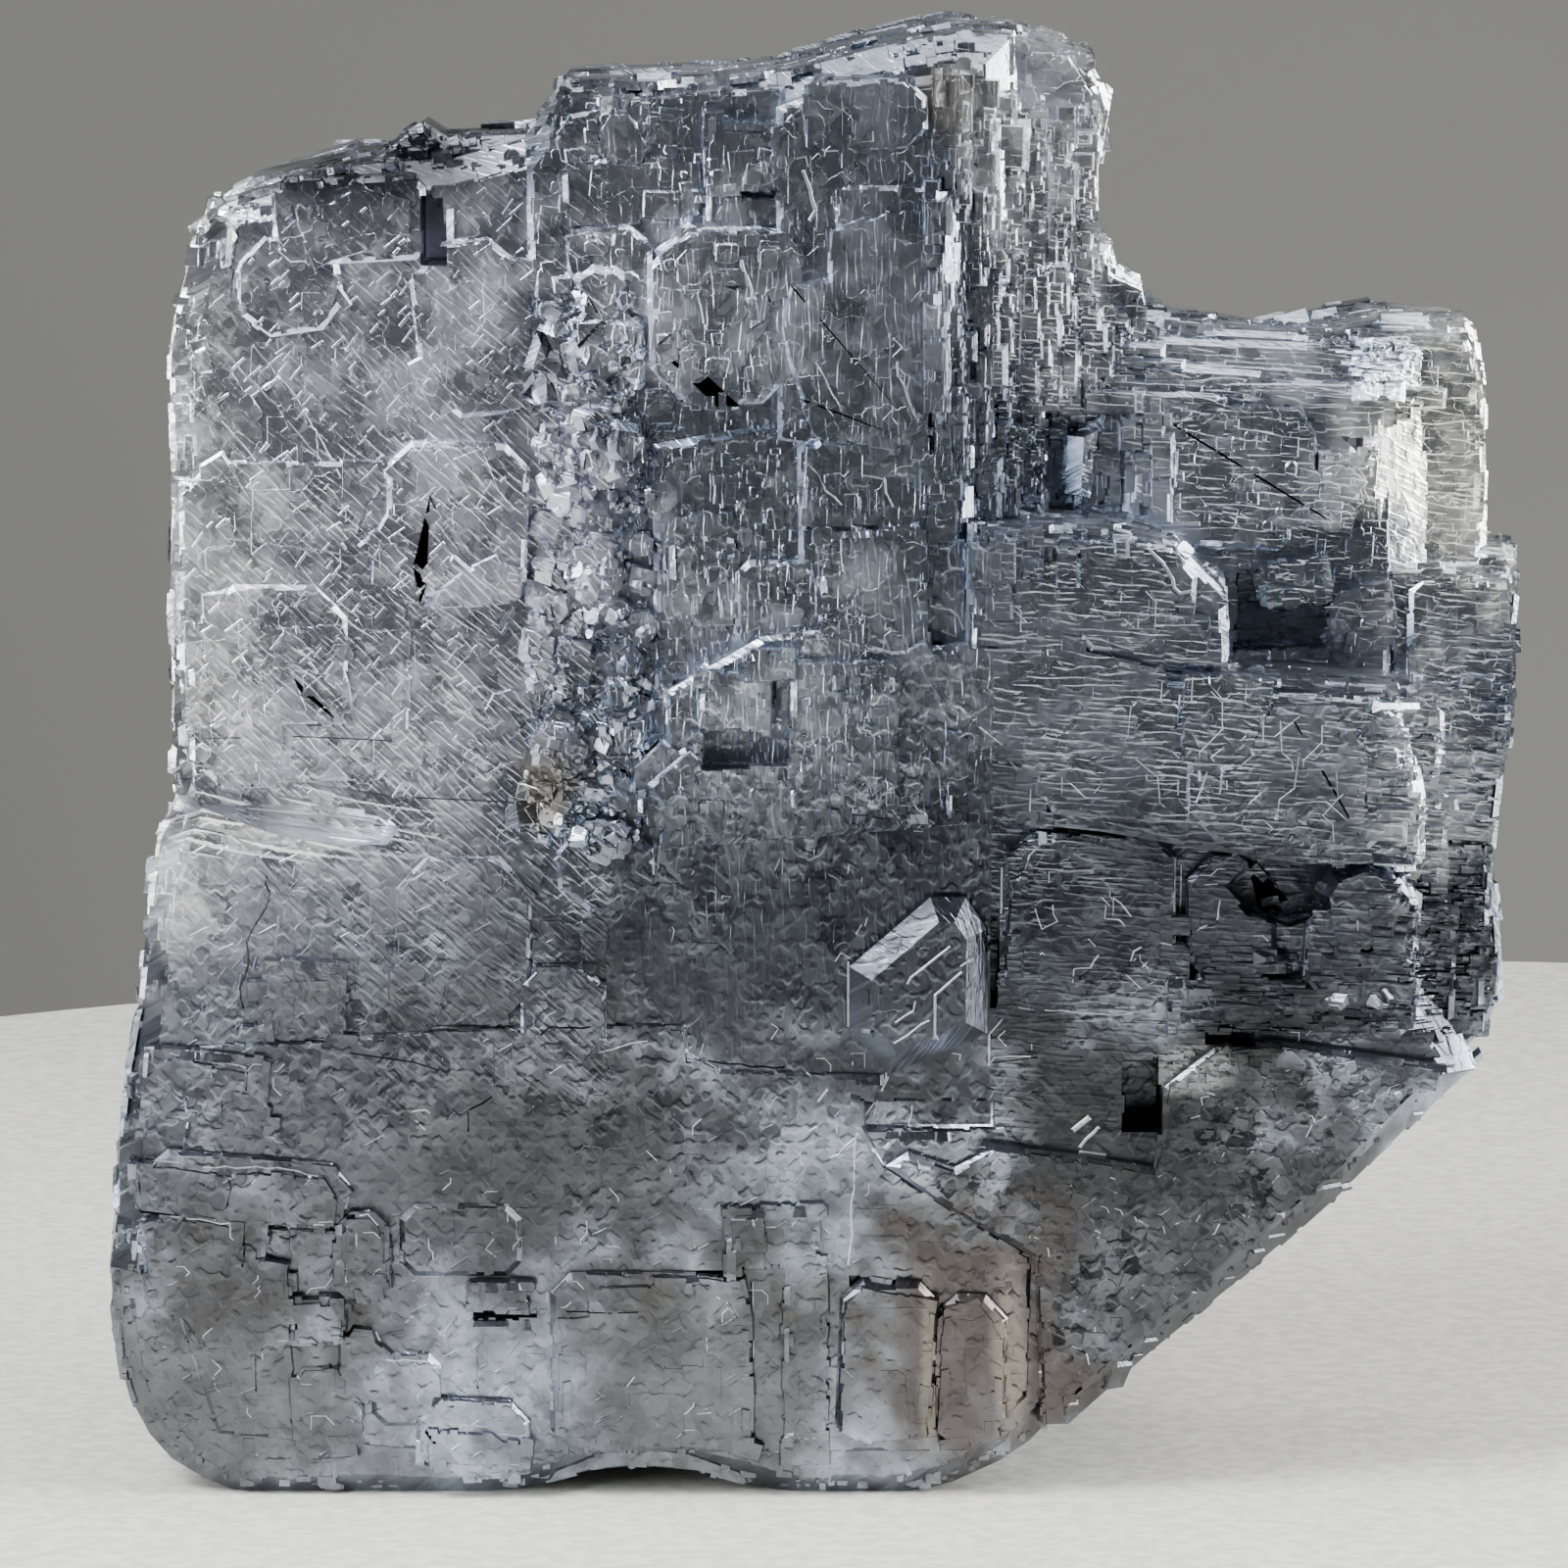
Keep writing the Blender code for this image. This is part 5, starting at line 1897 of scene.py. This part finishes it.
def crystal_ridges() -> list[Trace]:
    """The ridges of the six-sided crystal and of the plates beside it.

    Returns:
        The ridges.
    """
    return [
        sharp_ridge((876, 1047), (926, 1002), (929, 996), (969, 964), (991, 964)),
        sharp_ridge((907, 1096), (954, 1058), (954, 1014), (981, 990), (994, 989), (1010, 1005)),
        torn_ridge((980, 984), (996, 973), (1006, 980)),
        sharp_ridge((866, 985), (866, 1052), (878, 1050)),
        torn_ridge((914, 1042), (932, 1030), (934, 1020)),
        sharp_ridge((1030, 842), (1023, 887), (1021, 1030), (1024, 1044), (1010, 1060), (1010, 1092)),
        torn_ridge((1010, 1092), (1016, 1084), (1053, 1083)),
        torn_ridge((1079, 843), (1050, 871), (1045, 887), (1034, 908), (1030, 960), (1030, 1000)),
        torn_ridge((1056, 926), (1063, 947), (1079, 939), (1074, 922)),
        torn_ridge((1136, 915), (1154, 934)),
        torn_ridge((1154, 980), (1157, 970), (1175, 959), (1196, 964)),
        torn_ridge((1095, 1003), (1096, 988), (1113, 987), (1121, 974)),
        torn_ridge((1149, 994), (1165, 1009)),
        torn_ridge((1040, 1032), (1139, 1040), (1172, 1036)),
        sharp_ridge((1206, 884), (1204, 1003)),
        torn_ridge((1222, 949), (1243, 937), (1245, 918), (1270, 895)),
        torn_ridge((905, 1100), (892, 1147), (870, 1170), (848, 1188)),
        sharp_ridge((835, 1129), (845, 1116)),
        torn_ridge((936, 1118), (928, 1155), (905, 1178)),
        sharp_ridge((978, 1168), (993, 1152)),
        Trace(ruled((1097, 1160), (1113, 1147)), 0.5, stray=0.0),
        Trace(ruled(
            (1024, 1176), (1060, 1180), (1097, 1184), (1123, 1157),
        ), 0.3, stray=0.06, piece=0.8),
    ]


def upper_left_ridges() -> list[Trace]:
    """The curved ridges of the upper left.

    Returns:
        The ridges.
    """
    return [
        torn_ridge((196, 330), (238, 364), (290, 420), (330, 470)),
        torn_ridge((204, 404), (250, 452), (296, 512)),
        torn_ridge((262, 352), (300, 398), (332, 452), (350, 486)),
        torn_ridge((318, 300), (360, 352), (404, 414), (440, 462)),
        torn_ridge((211, 765), (300, 766), (372, 772)),
        torn_ridge((232, 548), (300, 556), (366, 566)),
        torn_ridge((196, 655), (232, 650), (262, 662)),
    ]


def lower_left_ridges() -> list[Trace]:
    """The bright rims of the plates at the lower left.

    Returns:
        The ridges.
    """
    return [
        torn_ridge((171, 1077), (196, 1081), (224, 1085), (249, 1092)),
        torn_ridge((133, 1186), (174, 1190), (217, 1196), (281, 1196), (322, 1205), (339, 1224)),
        torn_ridge((171, 1246), (201, 1249), (222, 1254), (244, 1256)),
        torn_ridge((262, 1294), (291, 1296)),
        sharp_ridge((294, 1335), (346, 1333)),
        torn_ridge((287, 1263), (296, 1254), (328, 1255), (339, 1265)),
        torn_ridge((343, 1254), (348, 1246), (373, 1244), (383, 1256)),
        torn_ridge((380, 1370), (390, 1397), (431, 1399), (446, 1415)),
        torn_ridge((439, 1461), (496, 1467), (505, 1474), (535, 1476), (541, 1486), (540, 1515)),
    ]


def notch_ridges() -> list[Trace]:
    """The ridge under the crystal, and the long ones in the notch.

    Returns:
        The ridges.
    """
    return [
        Trace(ruled((900, 1072), (925, 1056), (940, 1044), (948, 1040)), 0.16, stray=0.05, piece=1.0),
        Trace(ruled((186, 836), (260, 838), (330, 848), (398, 864)), 0.3, stray=0.02, piece=6.0),
        Trace(ruled((200, 848), (280, 854), (350, 866)), 0.22, stray=0.02, piece=6.0),
        Trace(ruled((240, 826), (320, 832), (400, 852)), 0.2, stray=0.02, piece=6.0),
    ]


def foot_ridges() -> list[Trace]:
    """The ridges from the crystal down to the right foot.

    Returns:
        The ridges.
    """
    return [
        Trace(ruled((907, 1104), (893, 1133), (875, 1161), (872, 1220), (866, 1300)), 0.2),
        Trace(ruled((904, 1179), (916, 1166), (928, 1161)), 0.4, stray=0.03),
        Trace(ruled(
            (908, 1201), (925, 1186), (939, 1194), (960, 1196), (979, 1206), (1020, 1174),
            (1060, 1177),
        ), 0.5, stray=0.04),
        Trace(ruled((1060, 1177), (1090, 1181), (1130, 1186)), 0.3, stray=0.05),
        Trace(ruled((560, 1100), (584, 1086), (610, 1078), (660, 1066)), 0.16),
        Trace(ruled((563, 961), (545, 966), (538, 990), (534, 1029)), 0.14),
        Trace(ruled((768, 1318), (768, 1500)), 0.1, stray=0.02, piece=6.0),
    ]


def tower_ridges() -> list[Trace]:
    """The marks on the upper middle and on the tower's face.

    Returns:
        The ridges.
    """
    return [
        Trace(ruled((812, 160), (822, 158), (824, 168)), 0.16),
        Trace(ruled((819, 172), (826, 190), (832, 212), (826, 222)), 0.34, stray=0.08),
        Trace(ruled((706, 268), (716, 270), (708, 300)), 0.22),
        Trace(ruled((757, 262), (764, 282), (768, 306)), 0.24),
        Trace(ruled((914, 364), (926, 404), (932, 418)), 0.2),
        Trace(ruled((832, 365), (848, 396), (858, 414)), 0.12),
        Trace(ruled((824, 468), (842, 496), (858, 510)), 0.16),
        Trace(ruled((880, 480), (902, 484), (910, 512)), 0.18),
    ]


def bench_ridges() -> list[Trace]:
    """The rims of the tower's foot and of the bench.

    Returns:
        The ridges.
    """
    return [
        Trace(ruled(
            (948, 521), (955, 539), (957, 554), (968, 555), (968, 575), (982, 577), (982, 607),
            (1039, 611),
        ), 0.2),
        Trace(ruled(
            (925, 586), (948, 589), (948, 614), (968, 618), (977, 625), (982, 639), (1011, 645),
            (1060, 652),
        ), 0.26),
        Trace(ruled((960, 640), (990, 652), (1030, 656), (1070, 655)), 0.2),
        Trace(ruled(
            (1000, 523), (1066, 526), (1086, 522), (1143, 533), (1193, 540), (1225, 540),
        ), 0.34),
        Trace(ruled(
            (1090, 530), (1150, 541), (1168, 552), (1193, 584), (1200, 598), (1232, 606),
        ), 0.3, stray=0.2, piece=0.8),
        Trace(ruled(
            (1000, 640), (1070, 642), (1121, 644), (1186, 666), (1229, 669), (1314, 676), (1357, 683),
            (1386, 690),
        ), 0.26),
        Trace(ruled((1120, 660), (1186, 675), (1200, 686), (1200, 718)), 0.16),
        Trace(ruled(
            (1288, 718), (1282, 732), (1275, 750), (1268, 768), (1229, 779), (1218, 811),
        ), 0.16),
        Trace(ruled((1100, 742), (1176, 746)), 0.12),
    ]


def recess_ridges() -> list[Trace]:
    """The upper rims of the plates in the recess.

    Returns:
        The ridges.
    """
    return [
        Trace(ruled(
            (1149, 403), (1214, 407), (1261, 419), (1279, 414), (1329, 418), (1340, 434), (1346, 456),
        ), 0.26),
        Trace(ruled((1350, 469), (1367, 469), (1394, 494), (1398, 517)), 0.26),
    ]


def painted_highlight_ridges() -> list[Part]:
    """The thin ridges that stand out bright: many small ones, and the drawn ones.

    Returns:
        The ridges.
    """
    return [
        *wandering_ridges(),
        *crystal_ridges(),
        *upper_left_ridges(),
        *lower_left_ridges(),
        *notch_ridges(),
        *foot_ridges(),
        *tower_ridges(),
        *bench_ridges(),
        *recess_ridges(),
    ]


# ---- fine growth and cracks ----------------------------------------------------------------------


def front_fields() -> list[Part]:
    """The fine growth over the left half, the middle and the foot.

    Returns:
        The growth.
    """
    front = Side.FRONT
    return [
        Field(front, LEFT_FIELD, 110, SHINGLES, -52.0, UP_RIGHT),
        Field(front, LEFT_FIELD, 130),
        Wanderings(front, LEFT_FIELD, 420, first=(52.0, 45.0, 38.0), **DABS),
        Wanderings(front, LEFT_FIELD, 30, first=(-52.0, -60.0), **DABS),
        Field(front, LEFT_SLAB, 110),
        Wanderings(front, LEFT_SLAB, 160, first=(50.0, 30.0, 80.0), **DABS),
        Field(front, LOWER_LEFT, 130),
        Wanderings(front, LOWER_LEFT, 160, first=(50.0, 30.0, 10.0), **DABS),
        Field(front, LOWER_MIDDLE, 90),
        Wanderings(front, LOWER_MIDDLE, 130, first=(50.0, 30.0, 130.0), **DABS),
        Field(front, RIGHT_FOOT, 90),
        Field(front, WAIST, 160),
        Field(front, DARK_FLOOR, 60),
        Field(front, BAND, 900, DRUSE),
        Field(front, TOP_LEFT_EDGE, 500, ROCKS),
        Field(front, GROUND, 600, SPECKLE),
        Field(front, UPPER_MIDDLE, 260, CLUSTER),
    ]


def front_cracks() -> list[Trace]:
    """The dark cracks over the left half and the middle.

    Returns:
        The cracks.
    """
    return [
        thin_crack((211, 752), (300, 751), (403, 756)),
        thin_crack((421, 815), (525, 820)),
        torn_crack((277, 240), (254, 245), (252, 264), (243, 275), (239, 304)),
        torn_crack((318, 264), (343, 266), (375, 257), (396, 261), (423, 272)),
        torn_crack((353, 280), (346, 304), (340, 323), (327, 336)),
        torn_crack((420, 482), (396, 479), (387, 507), (375, 514), (368, 543)),
        torn_crack((396, 521), (386, 539), (366, 554), (380, 568), (379, 593)),
        torn_crack((364, 654), (363, 671), (353, 675), (358, 712), (347, 737), (314, 740)),
        torn_crack((271, 896), (273, 921), (261, 943), (250, 964), (252, 986), (243, 1011), (246, 1032)),
        thin_crack((269, 1060), (349, 1063), (352, 1078), (420, 1088), (445, 1096)),
        thin_crack((251, 1092), (249, 1116)),
        torn_crack((343, 1235), (340, 1270), (336, 1300)),
        torn_crack((246, 1256), (244, 1298)),
        torn_crack((231, 1208), (231, 1225), (226, 1250)),
        torn_crack((293, 1336), (294, 1400), (294, 1425)),
        thin_crack((256, 1386), (256, 1432)),
        thin_crack((347, 1330), (348, 1372), (339, 1379), (294, 1379)),
        thin_crack((503, 1070), (503, 1110)),
        torn_crack((476, 1160), (476, 1138), (500, 1124)),
        torn_crack((484, 1395), (485, 1440), (470, 1458)),
        thin_crack((448, 1416), (449, 1458)),
        thin_crack((429, 1462), (428, 1496)),
        thin_crack((766, 1318), (768, 1440), (768, 1506)),
        thin_crack((532, 1290), (532, 1346), (620, 1347), (650, 1346)),
        torn_crack((532, 1076), (560, 1050), (696, 1052), (700, 1088), (800, 1094)),
        thin_crack((1012, 1060), (1008, 1090), (1060, 1084)),
    ]


def tower_fields() -> list[Part]:
    """The fine growth on the tower: its flat front with upright striations, and its stairs.

    Returns:
        The growth.
    """
    front = Side.FRONT
    return [
        Field(front, TOWER_FACE, 80, STRIPES),
        Field(front, TOWER_STEPS, 620, STAIRS, 0.0, RIGHTWARDS),
        Field(front, TOWER_STAIRS, 640, STAIRS, 0.0, RIGHTWARDS),
        Field(front, STAIR_FOOT, 200, STAIRS, 0.0, UP_RIGHT),
    ]


def right_fields() -> list[Part]:
    """The fine growth on the bench, in the recess, on the blocks at the right and on the wedge.

    Returns:
        The growth.
    """
    front = Side.FRONT
    return [
        Field(front, BENCH_LOWER, 130, BENCH, -4.0, UP_RIGHT),
        Field(front, BENCH_UPPER, 70, BENCH, -4.0, UP_RIGHT),
        Field(front, BENCH_END, 620, CHIPS, -3.0, UP_RIGHT),
        Field(front, RIGHT_BLOCKS, 80, BENCH, -1.0),
        Field(front, RIGHT_CHIPS, 300, CHIPS, -2.0),
        Field(front, RECESS_LEDGES, 520, LEDGES, -3.0, UP_RIGHT),
        Field(front, RECESS, 420, SPECKLE, -4.0, UP_RIGHT),
        Field(front, END_BLOCK, 120, BENCH, 0.0, RIGHTWARDS),
        Field(front, END_SLAB, 140, STRIPES, 0.0, RIGHTWARDS),
        Field(front, WEDGE, 1500, PEEL),
        Field(front, ROUGH_PLACE, 160, SPECKLE),
    ]


def side_fields() -> list[Part]:
    """The growth on the narrow sides and the top.

    Returns:
        The growth.
    """
    return [
        Field(Side.LEFT, [(-19.0, 2.0), (-19.0, 92.0), (17.0, 92.0), (17.0, 2.0)], 800, COARSE),
        Field(Side.RIGHT, [(-17.0, 5.0), (-17.0, 100.0), (19.0, 100.0), (19.0, 5.0)], 1000, COARSE),
        Field(Side.TOP, [(-44.0, -19.0), (47.0, -19.0), (47.0, 17.0), (-44.0, 17.0)], 1000, COARSE),
    ]


def back_fields() -> list[Part]:
    """The growth on the broad back, as finished as the rest.

    Returns:
        The growth.
    """
    back = Side.BACK
    rough = [(-30.0, 20.0), (-24.0, 70.0), (10.0, 92.0), (20.0, 60.0), (-5.0, 18.0)]
    return [
        Field(back, WHOLE, 1300, COARSE),
        Field(back, rough, 1200, CLUSTER),
        Field(back, WHOLE, 900, BENCH, -8.0),
        Wanderings(back, WHOLE, 300),
        Field(back, WHOLE, 6000, CRUMBS),
    ]


# ---- the specimen --------------------------------------------------------------------------------


@dataclass
class CrystalStone:
    """The whole specimen: the fused stone, and the crusts of growth on it."""

    finish: GalenaFinish = field(default_factory=GalenaFinish)
    highlight_finish: GalenaFinish = PAINTED_HIGHLIGHT_METAL
    pieces: list[bpy.types.Object] = field(default_factory=list)
    bright: set[str] = field(default_factory=set)

    def growths(self) -> list[Growth]:
        """Lists what is grown.

        Returns:
            The pieces, the stone first.
        """
        front = [Side.FRONT]
        return [
            Growth("stone_front", front_fields(), cracks=front_cracks()),
            Growth("front_edge_steps", [Field(Side.FRONT, WHOLE, 12000, CRUMBS)], EdgeSteps(), front),
            Growth("tower_growth", tower_fields()),
            Growth("right_growth", right_fields()),
            # the bright ridges, which get the lighter metal as a painted highlight
            Growth("painted_highlight_ridges", painted_highlight_ridges(), bright=True),
            Growth("side_growth", side_fields(), EdgeSteps(spacing=2.4), [Side.LEFT, Side.RIGHT, Side.TOP]),
            Growth("back_growth", back_fields(), EdgeSteps(spacing=1.8), [Side.BACK]),
        ]

    def build(self, node: bpy.types.Object) -> None:
        """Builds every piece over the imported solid.

        Args:
            node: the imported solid.
        """
        bare = bare_stone(node)
        body = Growth("body", sheets()).build(bare, Skin(bare), random.Random(SEED), True)
        stone = body.data
        bpy.data.objects.remove(body)
        skin = Skin(stone, BARE_PLACES, spare=0.25)
        for number, growth in enumerate(self.growths()):
            self.pieces.append(growth.build(stone, skin, random.Random(SEED + number), number == 0))
            if growth.bright:
                self.bright.add(growth.name)

    def dress(self) -> None:
        """Gives every piece the finish and ties it to the frame."""
        material, highlight_finish = self.finish.material(), self.highlight_finish.material()
        for piece in self.pieces:
            # the bright ridges get the lighter metal, a painted highlight
            piece.data.materials.clear()
            piece.data.materials.append(highlight_finish if piece.name in self.bright else material)
            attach(piece, BODY)
        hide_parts(NODE)


def main() -> None:
    """Builds the stone and the studio."""
    logging.basicConfig(level=logging.INFO, format="%(name)s: %(message)s")
    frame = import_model()
    stone = CrystalStone()
    stone.build(frame["nodes"][NODE])
    stone.dress()
    Studio().build()


if __name__ == "__main__":
    main()
